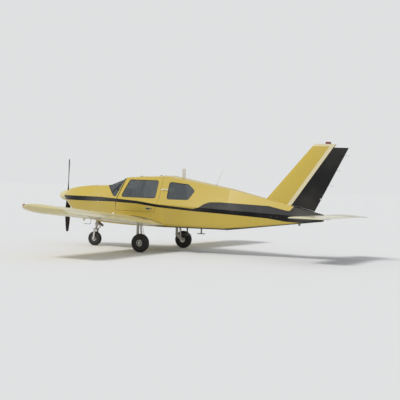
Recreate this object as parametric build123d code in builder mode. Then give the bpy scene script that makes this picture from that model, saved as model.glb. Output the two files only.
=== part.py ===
from build123d import *
import os
from math import cos, radians, sin

# A four-seat low-wing light aeroplane with a fixed tricycle undercarriage.
# Millimetres. +X is forward, +Y is the port side, +Z is up, and the tyres stand at z = 0.
# A station is the distance aft of the spinner's tip, as airframe drawings give it.

os.makedirs("parts", exist_ok=True)

# Overall sizes
length = 7720
span = 9760

# Half width and height of cutting blocks that reach past the hull
past_side = 900
past_top = 2200

# Walls, clearances and seams
cabin_wall = 40
cowl_wall = 14
tail_wall = 10
glass = 8
glass_depth = 12
running_gap = 6
door_gap = 6
fit = 0.3

# Propeller, spinner and engine
thrust_line = 1250
propeller_station = 250
spinner_length = 322
spinner_radius = 150
spinner_plate = 8
hub_radius = 62
hub_length = 120
blade_slot = 60
shaft_radius = 34
engine_front = 600
engine_back = 1330
engine_width = 560
engine_height = 420
engine_drop = 75
engine_corner = 30
mount_tube = 14
mount_inset = 55
exhaust_station = 1290
exhaust_reach = 150
exhaust_radius = 30
exhaust_wall = 3
exhaust_drop = 370
exhaust_kick = (110, 70)
exhaust_bend = 80

# Spinner's outline: station, radius
spinner_section = [(0, 0), (5, 26), (26, 60), (70, 94), (135, 122), (215, 141)]

# Propeller blade: radius, chord, rise of the front face, drop of the back face, pitch in degrees
blade_sections = [
    (45, 76, 38, 38, 48),
    (160, 102, 25, 13, 42),
    (330, 138, 17, 6, 33),
    (540, 147, 13, 4, 25),
    (740, 128, 9, 3, 19),
    (880, 98, 6, 2, 15),
    (940, 60, 4, 1.5, 14),
]

# Fuselage frames: station, floor z, floor half width, belt z, belt half width, top z, top half
# width, corner radius, belt radius, shoulder radius, crown of the top
cowl_front = 330
firewall = 1500
cabin_end = 4180
tail_end = length - 550
cowl_frames = [
    (cowl_front, 1075, 150, 1240, 320, 1400, 150, 90, 110, 90, 12),
    (560, 895, 260, 1215, 455, 1472, 215, 130, 190, 120, 16),
    (950, 730, 360, 1180, 545, 1530, 290, 140, 260, 150, 20),
    (firewall, 632, 440, 1140, 585, 1560, 350, 130, 300, 170, 24),
]
body_frames = [
    cowl_frames[-1],
    (1650, 620, 455, 1140, 598, 1575, 360, 130, 300, 170, 26),
    (2200, 600, 500, 1150, 630, 1790, 400, 120, 300, 150, 30),
    (3300, 592, 520, 1150, 636, 1850, 400, 120, 300, 150, 30),
    (length - 2820, 602, 330, 1080, 415, 1580, 190, 100, 240, 120, 14),
    (tail_end, 905, 52, 990, 86, 1072, 46, 30, 70, 30, 4),
]
tail_hollow = (4200, length - 1420)

# Cowling openings
split_line = 1245
intake_reach = 226
intake_width = 112
intake_height = 88
intake_corner = 34
outlet_width = 420
outlet_height = 90
outlet_corner = 30
shaft_clearance = 25
strut_clearance = 22
exhaust_clearance = 14
nose_cut = (10, 60)
outlet_cut = (5, 60)
belly_cut = (600, 300)

# Cabin: outlines by station and height
cabin_floor = 720
cabin_front = 1515
bulkhead = 20
sill = 955
door_frame = [(2222, 1950), (2018, 1260), (2000, sill), (3070, sill), (3196, 1290), (3216, 1950)]
door_outline = [(2252, 1950), (2034, 1260), *door_frame[2:]]
door_window = [(2300, 1722), (2118, 1282), (3096, 1282), (3112, 1722)]
rear_window = [(3392, 1702), (3392, 1270), (3930, 1276), (4062, 1500), (3880, 1650)]
screen_outline = [(1672, 1950), (1672, 1535), (1900, 1292), (1982, 1292), (2172, 1790), (2172, 1950)]
panel_outline = [
    (1600, 1495), (1960, 1495), (1990, 1460), (1990, 1140), (1960, 1140), (1960, 1465), (1600, 1465),
]
window_corner = 60
window_inner = 100
yoke_station = 2130
yoke_height = 1290
yoke_column = 12
yoke_depth = 24
yoke_bar = (230, 30)
yoke_horn = (120, 30)
horn_reach = 100
horn_rise = 45
seat_centre = 265
seat_width = 390
seat_top = 860
seat_post = 15
seat_corner = 22
front_frame = (2480, 2960)
rear_frame = (3480, 3900)
front_seat = [(2440, 0), (2440, 104), (2900, 90), (3050, 640), (3165, 622), (3010, 0)]
rear_seat = [(3440, 0), (3440, 112), (3850, 92), (3995, 560), (4095, 540), (3955, 0)]
rear_seat_half = 358

# Door hinges on the roof
hinge_reach = 118
hinge_rise = 10
hinge_stations = [2450, 3000]
hinge_pin = 4
hinge_lug = 7
strap_half = 17
strap_size = (46, 12)
roof_lug_size = (36, 12)
roof_lug_width = 8
lug_play = 1
roof_slope = (body_frames[3][5] - body_frames[2][5]) / (body_frames[3][0] - body_frames[2][0])

# Wing: constant chord, measured in its own frame from the root at the centreline
chord = 1220
wing_lead = 2110
wing_height = 690
dihedral = 4.5
incidence = 4
crest = 0.35 * chord
upper_rise = 0.10 * chord
lower_drop = 0.06 * chord
edge_half = 3
wing_root = 300
tip_end = span / 2 / cos(radians(dihedral))
tip_start = tip_end - 245
flap_hinge = 0.745 * chord
flap_span = (650, 0.2623 * span)
aileron_hinge = 0.79 * chord
aileron_span = (flap_span[1] + 15, tip_start - 90)
# Wing tip: span station, setback, chord, rise, drop, lift
tip_sections = [
    (tip_start, 0, chord, upper_rise, lower_drop, 0),
    (tip_end - 95, 60, 1130, 96, 50, 18),
    (tip_end, 230, 900, 30, 16, 78),
]

# Hinge brackets of flaps, ailerons and rudder
bracket_knuckle = 14
bracket_half = 6
bracket_pin = 5
slot_half = 12
bracket_root = 8
nose_relief = 1.5
past_hinge = (1200, 600)

# Fin and rudder, by station and height
fin_foot = 1100
fin_top = 2700
fin_lead = ((length - 2020, 1319), (length - 830, 2690))
fin_hinge = ((length - 1300, 1255), (length - 328, 2634))
rudder_trail = ((length - 752, 1145), (length, 2620))
rudder_top = 2620
rudder_foot = ((length - 1820, 1375), (length - 620, 1105))
fin_foot_thickness = 124
fin_top_thickness = 76
rudder_nose_foot = 50
rudder_nose_top = 32
rudder_brackets_at = (0.18, 0.82)
past_rudder = (1500, 400)
past_hinge_ends = 300

# Stabilator, all moving on a tube through the tail cone
stab_half_span = 1600
stab_chord = 800
stab_lead = length - 820
stab_height = 1015
stab_pivot = length - 610
stab_rise = 38
stab_tube = 26
stab_notch = 141
stab_tube_end = 20
notch_margin = 50
notch_heights = (800, 1300)
notch_back = length - 525
tab_hinge = 670
tab_half_span = 1150
tab_nose = 17
tab_pin = 3
tab_pin_length = 30
tab_bore = 10

# Undercarriage
track = 2330
main_station = 3040
main_radius = 222
main_width = 150
main_bead = 76
nose_station = 1090
nose_radius = 180
nose_width = 126
nose_bead = 64
axle_radius = 16
axle_boss = 30
axle_eye = 14
axle_end = 6
rim_share = 0.38
rim_flange = 10
rim_lip = 8
rim_holes = 6
rim_land = 6
brake_radius = 66
brake_disc = 6
brake_stand = 4
brake_gap = 3
caliper = (44, 60, 8)
caliper_back = 42
tyre_sides = 36
# Half of a tyre's section from bead to crown, as shares of its width and of its depth
tyre_section = [(0.37, 0.04), (0.475, 0.25), (0.495, 0.6), (0.4, 0.88), (0.2, 1)]
tyre_clearance = 8
rim_web = 8
leg_radius = 34
leg_station = 2900
leg_pivot = 345
oleo_radius = 20
oleo_eye = 6
oleo_foot = (25, 60)
oleo_head = (70, 40)
link_plate = 32
leg_in_wing = 60
strut_rake = 90 / 720
strut_radius = 36
piston_radius = 26
fork_top = 265
piston_length = 200
steering_collar = (30, 36, 14)
link_pins = [(34, 250), (115, 318), (53, 378)]
link_radius = 9
link_half = 12
strut_start = 330
strut_end = 760
brace_drops = (40, 170)
brace = (60, 50, 12)
strut_overtravel = 15
fork_plate = 16
fork_arm = (fork_plate, 54, 6)
fork_crown = (84, 20)
fork_crown_depth = 34
tow_socket = 8
tow_depth = 30

# Boarding steps behind the wing
step_station = 3900
step_reach = 400
step_height = 430
step_tread = (190, 110, 20)
step_depth = 14
step_bar = (36, 16, 6)

# Beacon on the fin and antenna on the roof
beacon_setback = 330
beacon_size = (150, 46)
beacon_height = 50
beacon_taper = 18
antenna_station = 3560
antenna_section = (90, 14, 6)
antenna_root = 1700
antenna_height = 2030

# Tie-down lugs under the wings and the tail
lug_radius = 24
lug_bore = 10
lug_plate = 10
lug_drop = 26
wing_lug_span = 2900
tail_lug_station = length - 1120

port_side = Plane(origin=(length / 2, 0, 0), x_dir=(-1, 0, 0), z_dir=(0, 1, 0))
thrust_plane = Plane(origin=(0, 0, thrust_line), x_dir=(1, 0, 0), z_dir=(0, -1, 0))
thrust_axis = Axis((0, 0, thrust_line), (1, 0, 0))
strut_plane = Plane(
    origin=(length / 2 - nose_station, 0, nose_radius), x_dir=(0, 1, 0), z_dir=(-strut_rake, 0, 1)
)
wing_frame = Plane(
    origin=(length / 2 - wing_lead, 0, wing_height),
    x_dir=(
        -cos(radians(incidence)),
        sin(radians(incidence)) * sin(radians(dihedral)),
        -sin(radians(incidence)) * cos(radians(dihedral)),
    ),
    z_dir=(0, cos(radians(dihedral)), sin(radians(dihedral))),
)
stab_frame = Plane(origin=(length / 2 - stab_lead, 0, stab_height), x_dir=(-1, 0, 0), z_dir=(0, 1, 0))


def fore(station):
    """The X of a station."""
    return length / 2 - station


def frame_plane(station):
    """The plane of a fuselage frame, seen from ahead with port to the right."""
    return Plane(origin=(fore(station), 0, 0), x_dir=(0, 1, 0), z_dir=(1, 0, 0))


def moved(plane, x, y, along=0):
    """The plane shifted in its own directions."""
    return Plane(origin=plane.from_local_coords((x, y, along)), x_dir=plane.x_dir, z_dir=plane.z_dir)


def on_line(line, height):
    """The station at a height on a line given by two points."""
    (s0, z0), (s1, z1) = line
    return s0 + (s1 - s0) * (height - z0) / (z1 - z0)


def side_block(points, near, far, corner=0, gap=0):
    """A block drawn in side view, by station and height, between two distances to port."""
    with BuildPart() as block:
        with BuildSketch(port_side.offset(near)):
            with BuildLine():
                Polyline(*points, close=True)
            make_face()
            if corner:
                fillet(vertices(), corner)
            if gap:
                offset(amount=gap, kind=Kind.INTERSECTION)
        extrude(amount=far - near)
    return block.part


def station_box(front, back, half_width, low, high):
    """A box across the fuselage between two stations and two heights."""
    return side_block([(front, low), (back, low), (back, high), (front, high)], -half_width, half_width)


def hull(frames, inset=0, smooth=False):
    """The fuselage through its frames, drawn in by the inset."""
    with BuildPart() as body:
        for frame in frames:
            station, low, low_half, belt, belt_half, high, high_half, corner, side, shoulder, crown = frame
            with BuildSketch(frame_plane(station)):
                with BuildLine():
                    edge = high - crown - inset
                    outline = Polyline(
                        (high_half - inset, edge),
                        (belt_half - inset, belt),
                        (low_half - inset, low + inset),
                        (inset - low_half, low + inset),
                        (inset - belt_half, belt),
                        (inset - high_half, edge),
                    )
                    ThreePointArc(outline @ 1, (0, high - inset), outline @ 0)
                make_face()
                rows = vertices().group_by(Axis.Y)
                fillet(rows[0], corner - 0.8 * inset)
                fillet(rows[1], side - inset)
                fillet(rows[-1], shoulder - inset)
        loft(ruled=not smooth)
    return body.part


def aerofoil(rise, drop, depth, trail=edge_half):
    """A wing section: two elliptic noses and two long arcs, with its crest at 35 per cent."""
    middle = crest / chord * depth
    with BuildSketch() as section:
        with BuildLine():
            EllipticalCenterArc((middle, 0), middle, rise, start_angle=90, arc_size=90)
            EllipticalCenterArc((middle, 0), middle, drop, start_angle=180, arc_size=90)
            upper = TangentArc((middle, rise), (depth, trail), tangent=(1, 0))
            lower = TangentArc((middle, -drop), (depth, -trail), tangent=(1, 0))
            Line(upper @ 1, lower @ 1)
        make_face()
    return section.sketch


def skin_height(x, rise, depth, trail=edge_half):
    """The height of an aerofoil's rear arc at x."""
    middle = crest / chord * depth
    radius = ((depth - middle) ** 2 + (rise - trail) ** 2) / (2 * (rise - trail))
    return rise - radius + (radius**2 - (x - middle) ** 2) ** 0.5


def behind_hinge(plane, radius, amount):
    """All that lies behind a hinge line, with a round nose about it."""
    with BuildPart() as region:
        with BuildSketch(plane):
            Circle(radius)
            Rectangle(*past_hinge, align=(Align.MIN, Align.CENTER))
        extrude(amount=amount)
    return region.part


def hinge_slot(plane, reach):
    """The slot in a moving surface where a hinge bracket enters its nose."""
    with BuildPart() as slot:
        with BuildSketch(plane.offset(-slot_half)):
            Circle(bracket_knuckle + running_gap)
            Rectangle(reach, 2 * reach, align=(Align.MAX, Align.CENTER))
        extrude(amount=2 * slot_half)
    return slot.part


def hinge_bracket(plane, reach):
    """A bracket from the fixed surface, with a bored knuckle on the hinge line."""
    with BuildPart() as bracket:
        with BuildSketch(plane.offset(-bracket_half)):
            Circle(bracket_knuckle)
            Rectangle(reach, 1.5 * bracket_knuckle, align=(Align.MAX, Align.CENTER))
            Circle(bracket_pin + fit, mode=Mode.SUBTRACT)
        extrude(amount=2 * bracket_half)
    return bracket.part


def hinge_bolt(plane):
    """The pin across a slot, held by the moving surface on both sides."""
    with BuildPart() as bolt:
        with BuildSketch(plane.offset(-slot_half - bracket_pin)):
            Circle(bracket_pin)
        extrude(amount=2 * (slot_half + bracket_pin))
    return bolt.part


def tie_lug(station, reach, height):
    """A tie-down lug, bored across, that hangs from the skin at a height."""
    with BuildPart() as lug:
        with BuildSketch(port_side.offset(reach - lug_plate / 2)):
            with Locations((station, height - lug_drop)):
                Circle(lug_radius)
                Rectangle(2 * lug_radius, 1.6 * lug_drop, align=(Align.CENTER, Align.MIN))
                Circle(lug_bore, mode=Mode.SUBTRACT)
        extrude(amount=lug_plate)
    return lug.part


# Cowling: an upper and a lower half over the engine
with BuildPart() as cowl_shell:
    add(hull(cowl_frames, smooth=True))
    inner_frames = [(cowl_front + cowl_wall, *cowl_frames[0][1:]), *cowl_frames[1:]]
    add(hull(inner_frames, cowl_wall, smooth=True), mode=Mode.SUBTRACT)
    with BuildSketch(frame_plane(cowl_front - nose_cut[0])):
        with Locations((0, thrust_line)):
            Circle(shaft_radius + shaft_clearance)
        with Locations((intake_reach, thrust_line), (-intake_reach, thrust_line)):
            RectangleRounded(intake_width, intake_height, intake_corner)
    extrude(amount=-nose_cut[1], mode=Mode.SUBTRACT)

with BuildPart() as cowling_upper:
    add(cowl_shell.part)
    split(bisect_by=Plane.XY.offset(split_line), keep=Keep.TOP)

with BuildPart() as cowling_lower:
    add(cowl_shell.part)
    split(bisect_by=Plane.XY.offset(split_line), keep=Keep.BOTTOM)
    with BuildSketch(strut_plane):
        Circle(strut_radius + strut_clearance)
    extrude(amount=strut_end, mode=Mode.SUBTRACT)
    with BuildSketch(frame_plane(firewall + outlet_cut[0])):
        with Locations((0, cowl_frames[-1][1])):
            RectangleRounded(outlet_width, outlet_height, outlet_corner)
    extrude(amount=outlet_cut[1], mode=Mode.SUBTRACT)
    with BuildSketch(Plane.XY.offset(belly_cut[0])):
        with Locations((fore(exhaust_station), exhaust_reach)):
            Circle(exhaust_radius + exhaust_clearance)
    extrude(amount=belly_cut[1], mode=Mode.SUBTRACT)

with BuildPart() as engine_block:
    with BuildSketch(frame_plane(engine_back)):
        with Locations((0, thrust_line - engine_drop)):
            RectangleRounded(engine_width, engine_height, engine_corner)
    extrude(amount=engine_back - engine_front)
    with BuildSketch(frame_plane(engine_front)):
        with Locations((0, thrust_line)):
            Circle(shaft_radius)
    extrude(amount=engine_front - spinner_length - fit)
    with BuildSketch(frame_plane(firewall)):
        with Locations((0, thrust_line - engine_drop)):
            with GridLocations(engine_width - 2 * mount_inset, engine_height - 2 * mount_inset, 2, 2):
                Circle(mount_tube)
    extrude(amount=firewall - engine_back)

exhaust_top = thrust_line - engine_drop - engine_height / 2
with BuildPart() as exhaust_pipe:
    with BuildLine() as pipe_line:
        FilletPolyline(
            (fore(exhaust_station), exhaust_reach, exhaust_top - fit),
            (fore(exhaust_station), exhaust_reach, exhaust_top - exhaust_drop),
            (
                fore(exhaust_station + exhaust_kick[0]), exhaust_reach,
                exhaust_top - exhaust_drop - exhaust_kick[1],
            ),
            radius=exhaust_bend,
        )
    with BuildSketch(Plane(origin=pipe_line.line @ 0, z_dir=pipe_line.line % 0)):
        Circle(exhaust_radius)
        Circle(exhaust_radius - exhaust_wall, mode=Mode.SUBTRACT)
    sweep()

# Propeller and spinner
with BuildPart() as spinner:
    with BuildSketch(thrust_plane):
        with BuildLine():
            Polyline(
                *[(fore(station), radius) for station, radius in spinner_section],
                (fore(spinner_length), spinner_radius), (fore(spinner_length), 0), close=True,
            )
        make_face()
    revolve(axis=thrust_axis)
    with BuildSketch(frame_plane(spinner_length - spinner_plate)):
        with Locations((0, thrust_line)):
            Circle(hub_radius + fit)
    extrude(amount=hub_length + fit, mode=Mode.SUBTRACT)
    with BuildSketch(Plane.XY.offset(thrust_line - spinner_radius)):
        with Locations((fore(propeller_station), 0)):
            Circle(blade_slot)
    extrude(amount=2 * spinner_radius, mode=Mode.SUBTRACT)

with BuildPart() as blade:
    for radius, width, rise, drop, pitch in blade_sections:
        section_plane = Plane(
            origin=(fore(propeller_station), 0, thrust_line + radius),
            x_dir=(sin(radians(pitch)), -cos(radians(pitch)), 0),
            z_dir=(0, 0, 1),
        )
        with BuildSketch(section_plane):
            with BuildLine():
                ThreePointArc((-width / 2, 0), (0, rise), (width / 2, 0))
                ThreePointArc((width / 2, 0), (0, -drop), (-width / 2, 0))
            make_face()
    loft()

with BuildPart() as propeller:
    with BuildSketch(frame_plane(spinner_length - spinner_plate)):
        with Locations((0, thrust_line)):
            Circle(hub_radius)
    extrude(amount=hub_length)
    add(blade.part)
    add(blade.part.rotate(thrust_axis, 180))

# Cabin shell, split at the door sills
body_solid = hull(body_frames)
cabin_space = hull(body_frames[:-1], cabin_wall) & station_box(
    cabin_front, cabin_end - bulkhead, past_side, cabin_floor, past_top
)
with BuildPart() as cabin_skin:
    add(body_solid)
    add(station_box(firewall, cabin_end, past_side, 0, past_top), mode=Mode.INTERSECT)
    add(cabin_space, mode=Mode.SUBTRACT)

pane_skin = hull(body_frames, glass_depth) - hull(body_frames, glass_depth + glass)
screen_block = side_block(screen_outline, -past_side, past_side)
door_block = side_block(door_outline, hinge_reach, past_side)
door_hole = side_block(door_frame, hinge_reach - door_gap, past_side, gap=door_gap)
door_light = side_block(door_window, window_inner, past_side, window_corner)
rear_light = side_block(rear_window, window_inner, past_side, window_corner)
sill_line = sill - door_gap


def hinge_frame(station):
    """A door hinge's own plane, on the hinge line, looking forward along it."""
    skin = body_frames[2][5] + roof_slope * (station - body_frames[2][0])
    drop = body_frames[2][10] * (hinge_reach / body_frames[2][6]) ** 2
    height = skin - drop + hinge_rise
    return Plane(origin=(fore(station), hinge_reach, height), x_dir=(0, 1, 0), z_dir=(1, 0, -roof_slope))


def roof_lugs(station):
    """The two lugs on the roof and the pin that they hold."""
    plane = hinge_frame(station)
    with BuildPart() as lugs:
        for start in (strap_half + lug_play, -strap_half - lug_play - roof_lug_width):
            with BuildSketch(plane.offset(start)):
                Circle(hinge_lug)
                with Locations((0, 1 - hinge_rise)):
                    Rectangle(*roof_lug_size, align=(Align.MAX, Align.CENTER))
            extrude(amount=roof_lug_width)
        reach = strap_half + lug_play + roof_lug_width
        with BuildSketch(plane.offset(-reach)):
            Circle(hinge_pin)
        extrude(amount=2 * reach)
    return lugs.part


def door_strap(station):
    """The strap on the door's upper edge, bored for the pin."""
    plane = hinge_frame(station)
    with BuildPart() as strap:
        with BuildSketch(plane.offset(-strap_half)):
            Circle(hinge_lug)
            with Locations((0, 1 - hinge_rise)):
                Rectangle(*strap_size, align=(Align.MIN, Align.CENTER))
            Circle(hinge_pin + fit, mode=Mode.SUBTRACT)
        extrude(amount=2 * strap_half)
    return strap.part


with BuildPart() as cabin_top:
    add(cabin_skin.part)
    split(bisect_by=Plane.XY.offset(sill_line), keep=Keep.TOP)
    add(screen_block, mode=Mode.SUBTRACT)
    for block in (door_hole, rear_light):
        add(block, mode=Mode.SUBTRACT)
        mirror(block, about=Plane.XZ, mode=Mode.SUBTRACT)
    for station in hinge_stations:
        add(roof_lugs(station))
        mirror(roof_lugs(station), about=Plane.XZ)

with BuildPart() as cabin_tub:
    add(cabin_skin.part)
    split(bisect_by=Plane.XY.offset(sill_line), keep=Keep.BOTTOM)
    for side in (-step_reach, step_reach):
        with BuildSketch(Plane.XY.offset(step_height)):
            with Locations((fore(step_station), side)):
                RectangleRounded(*step_tread)
        extrude(amount=step_depth)
        with BuildSketch(Plane.XY.offset(step_height)):
            with Locations((fore(step_station), side)):
                RectangleRounded(*step_bar)
        extrude(amount=body_frames[3][1] + cabin_wall - step_height)

with BuildPart() as windscreen:
    add(pane_skin)
    add(screen_block, mode=Mode.INTERSECT)

with BuildPart() as door_left:
    add(cabin_skin.part)
    add(door_block, mode=Mode.INTERSECT)
    add(door_light, mode=Mode.SUBTRACT)
    for station in hinge_stations:
        add(door_strap(station))

with BuildPart() as door_window_left:
    add(pane_skin)
    add(door_light, mode=Mode.INTERSECT)

with BuildPart() as rear_window_left:
    add(pane_skin)
    add(rear_light, mode=Mode.INTERSECT)

share = (tail_lug_station - body_frames[4][0]) / (tail_end - body_frames[4][0])
tail_keel = body_frames[4][1] + share * (body_frames[5][1] - body_frames[4][1])
with BuildPart() as rear_fuselage:
    add(body_solid)
    add(station_box(cabin_end, tail_end, past_side, 0, past_top), mode=Mode.INTERSECT)
    add(hull(body_frames, tail_wall) & station_box(*tail_hollow, past_side, 0, past_top), mode=Mode.SUBTRACT)
    with BuildSketch(port_side.offset(-stab_notch)):
        with Locations((stab_pivot, stab_height)):
            Circle(stab_tube + fit)
    extrude(amount=2 * stab_notch, mode=Mode.SUBTRACT)
    add(tie_lug(tail_lug_station, 0, tail_keel))

# Cabin furniture
with BuildPart() as instrument_panel:
    add(side_block(panel_outline, -past_side, past_side))
    add(cabin_space, mode=Mode.INTERSECT)

with BuildPart() as control_yokes:
    for side in (-seat_centre, seat_centre):
        with BuildSketch(frame_plane(yoke_station)):
            with Locations((side, yoke_height)):
                Circle(yoke_column)
        extrude(amount=yoke_station - panel_outline[2][0])
        with BuildSketch(frame_plane(yoke_station + yoke_depth)):
            with Locations((side, yoke_height)):
                SlotOverall(*yoke_bar)
            for reach in (side - horn_reach, side + horn_reach):
                with Locations((reach, yoke_height + horn_rise)):
                    SlotOverall(*yoke_horn, rotation=90)
        extrude(amount=yoke_depth)

seat_profile = [(station, seat_top + fit + rise) for station, rise in front_seat]
with BuildPart() as front_seat_left:
    add(side_block(seat_profile, seat_centre - seat_width / 2, seat_centre + seat_width / 2, seat_corner))

bench_profile = [(station, seat_top + fit + rise) for station, rise in rear_seat]
with BuildPart() as rear_bench:
    add(side_block(bench_profile, -rear_seat_half, rear_seat_half, seat_corner))

front_half = seat_width / 2 - seat_post
rear_half = rear_seat_half - seat_post
with BuildPart() as seat_frames:
    for (front, back), near, far in (
        (front_frame, -seat_centre - front_half, front_half - seat_centre),
        (front_frame, seat_centre - front_half, seat_centre + front_half),
        (rear_frame, -rear_half, rear_half),
    ):
        block = [(front, cabin_floor), (back, cabin_floor), (back, seat_top), (front, seat_top)]
        add(side_block(block, near, far))

# Wing, flap, aileron and tip on the port side
def hinge_at(x):
    """The hinge line midway through the wing at x, and the radius of the nose about it."""
    above = skin_height(x, upper_rise, chord)
    below = skin_height(x, lower_drop, chord)
    return moved(wing_frame, x, (above - below) / 2), (above + below) / 2 - nose_relief


flap_line, flap_nose = hinge_at(flap_hinge)
aileron_line, aileron_nose = hinge_at(aileron_hinge)


def bracket_stations(ends):
    """Two hinge brackets, a sixth of the span in from each end."""
    inward = (ends[1] - ends[0]) / 6
    return ends[0] + inward, ends[1] - inward


with BuildPart() as wing_blank:
    with BuildSketch(wing_frame.offset(wing_root)):
        add(aerofoil(upper_rise, lower_drop, chord))
    extrude(amount=tip_start - wing_root)

with BuildPart() as wing_left:
    add(wing_blank.part)
    add(body_solid, mode=Mode.SUBTRACT)
    for line, ends, nose in (
        (flap_line, flap_span, flap_nose), (aileron_line, aileron_span, aileron_nose)
    ):
        start = line.offset(ends[0] - running_gap)
        cove = nose + running_gap
        add(behind_hinge(start, cove, ends[1] - ends[0] + 2 * running_gap), mode=Mode.SUBTRACT)
        for station in bracket_stations(ends):
            add(hinge_bracket(line.offset(station), cove + bracket_root))
    keel = wing_frame.offset(wing_lug_span).from_local_coords((crest, -lower_drop))
    add(tie_lug(length / 2 - keel.X, keel.Y, keel.Z))


def surface(line, ends, nose):
    """A flap or an aileron, with its slots and hinge bolts."""
    with BuildPart() as piece:
        add(wing_blank.part)
        add(behind_hinge(line.offset(ends[0]), nose, ends[1] - ends[0]), mode=Mode.INTERSECT)
        for station in bracket_stations(ends):
            plane = line.offset(station)
            add(hinge_slot(plane, nose + running_gap), mode=Mode.SUBTRACT)
            add(hinge_bolt(plane))
    return piece


flap_left = surface(flap_line, flap_span, flap_nose)
aileron_left = surface(aileron_line, aileron_span, aileron_nose)

with BuildPart() as wing_tip_left:
    for station, setback, depth, rise, drop, lift in tip_sections:
        with BuildSketch(moved(wing_frame, setback, lift, station)):
            add(aerofoil(rise, drop, depth))
    loft()

# Fin and rudder, cut from one blank by the swept hinge line
with BuildPart() as tail_blank:
    for height, thickness in ((fin_foot, fin_foot_thickness), (fin_top, fin_top_thickness)):
        nose = on_line(fin_lead, height)
        with BuildSketch(Plane(origin=(fore(nose), 0, height), x_dir=(-1, 0, 0), z_dir=(0, 0, 1))):
            add(aerofoil(thickness / 2, thickness / 2, on_line(rudder_trail, height) - nose))
    loft(ruled=True)

(foot_station, foot_height), (head_station, head_height) = fin_hinge
hinge_length = ((head_station - foot_station) ** 2 + (head_height - foot_height) ** 2) ** 0.5
hinge_up = ((foot_station - head_station) / hinge_length, 0, (head_height - foot_height) / hinge_length)
rudder_line = Plane(
    origin=(fore(foot_station), 0, foot_height), x_dir=(-hinge_up[2], 0, hinge_up[0]), z_dir=hinge_up
)


def rudder_region(gap):
    """All that lies behind the rudder's hinge line, with its tapered round nose."""
    reach = past_hinge_ends
    with BuildPart() as region:
        grow = (rudder_nose_top - rudder_nose_foot) / hinge_length
        for along in (-reach, hinge_length + reach):
            with BuildSketch(rudder_line.offset(along)):
                Circle(rudder_nose_foot + grow * along + gap)
        loft(ruled=True)
        with BuildSketch(rudder_line.offset(-reach)):
            Rectangle(*past_rudder, align=(Align.MIN, Align.CENTER))
        extrude(amount=hinge_length + 2 * reach)
    return region.part


(foot_front, _), (_, foot_back_height) = rudder_foot
tail_limit = length + past_hinge_ends
below_rudder = side_block(
    [*rudder_foot, (tail_limit, foot_back_height), (tail_limit, 0), (foot_front, 0)],
    -past_hinge_ends, past_hinge_ends,
)
above_rudder = station_box(foot_front, tail_limit, past_hinge_ends, rudder_top, fin_top + past_hinge_ends)
rudder_brackets = [rudder_line.offset(hinge_length * share) for share in rudder_brackets_at]
with BuildPart() as fin:
    add(tail_blank.part)
    add(rudder_region(running_gap), mode=Mode.SUBTRACT)
    add(body_solid, mode=Mode.SUBTRACT)
    for plane in rudder_brackets:
        add(hinge_bracket(plane, rudder_nose_foot + running_gap + bracket_root))

with BuildPart() as rudder:
    add(tail_blank.part)
    add(rudder_region(0), mode=Mode.INTERSECT)
    add(below_rudder, mode=Mode.SUBTRACT)
    add(above_rudder, mode=Mode.SUBTRACT)
    for plane in rudder_brackets:
        add(hinge_slot(plane, rudder_nose_foot + running_gap), mode=Mode.SUBTRACT)
        add(hinge_bolt(plane))

# Stabilator and its tab
tab_line = moved(stab_frame, tab_hinge, 0)
with BuildPart() as stab_blank:
    with BuildSketch(stab_frame.offset(-stab_half_span)):
        add(aerofoil(stab_rise, stab_rise, stab_chord))
    extrude(amount=2 * stab_half_span)

with BuildPart() as stabilator:
    add(stab_blank.part)
    gap_half = tab_half_span + running_gap
    add(behind_hinge(tab_line.offset(-gap_half), tab_nose + running_gap, 2 * gap_half), mode=Mode.SUBTRACT)
    add(station_box(stab_lead - notch_margin, notch_back, stab_notch, *notch_heights), mode=Mode.SUBTRACT)
    with BuildSketch(port_side.offset(-stab_notch - stab_tube_end)):
        with Locations((stab_pivot, stab_height)):
            Circle(stab_tube)
    extrude(amount=2 * (stab_notch + stab_tube_end))
    for start in (tab_half_span - running_gap, running_gap - tab_half_span - tab_pin_length):
        with BuildSketch(tab_line.offset(start)):
            Circle(tab_pin)
        extrude(amount=tab_pin_length)

with BuildPart() as trim_tab:
    add(stab_blank.part)
    add(behind_hinge(tab_line.offset(-tab_half_span), tab_nose, 2 * tab_half_span), mode=Mode.INTERSECT)
    for start in (tab_half_span - tab_bore, -tab_half_span):
        with BuildSketch(tab_line.offset(start)):
            Circle(tab_pin + fit)
        extrude(amount=tab_bore, mode=Mode.SUBTRACT)


# Wheels: a rim with its bore and a tyre seated on it
def faceted(plane, rings):
    """A solid through polygons, each given by its place on the plane's axis and its radius."""
    loops = []
    for along, radius in rings:
        with BuildSketch(plane.offset(along)) as ring:
            RegularPolygon(radius, tyre_sides, major_radius=False, rotation=180 / tyre_sides)
        loops.append(ring.sketch.face())
    faces = [loops[0], loops[-1]]
    for near, far in zip(loops, loops[1:]):
        for first, second in zip(near.outer_wire().edges(), far.outer_wire().edges()):
            corners = [first @ 0, first @ 1, second @ 1, second @ 0]
            faces.append(Face(Wire.make_polygon(corners, close=True)))
    return Solid(Shell(faces))


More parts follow.
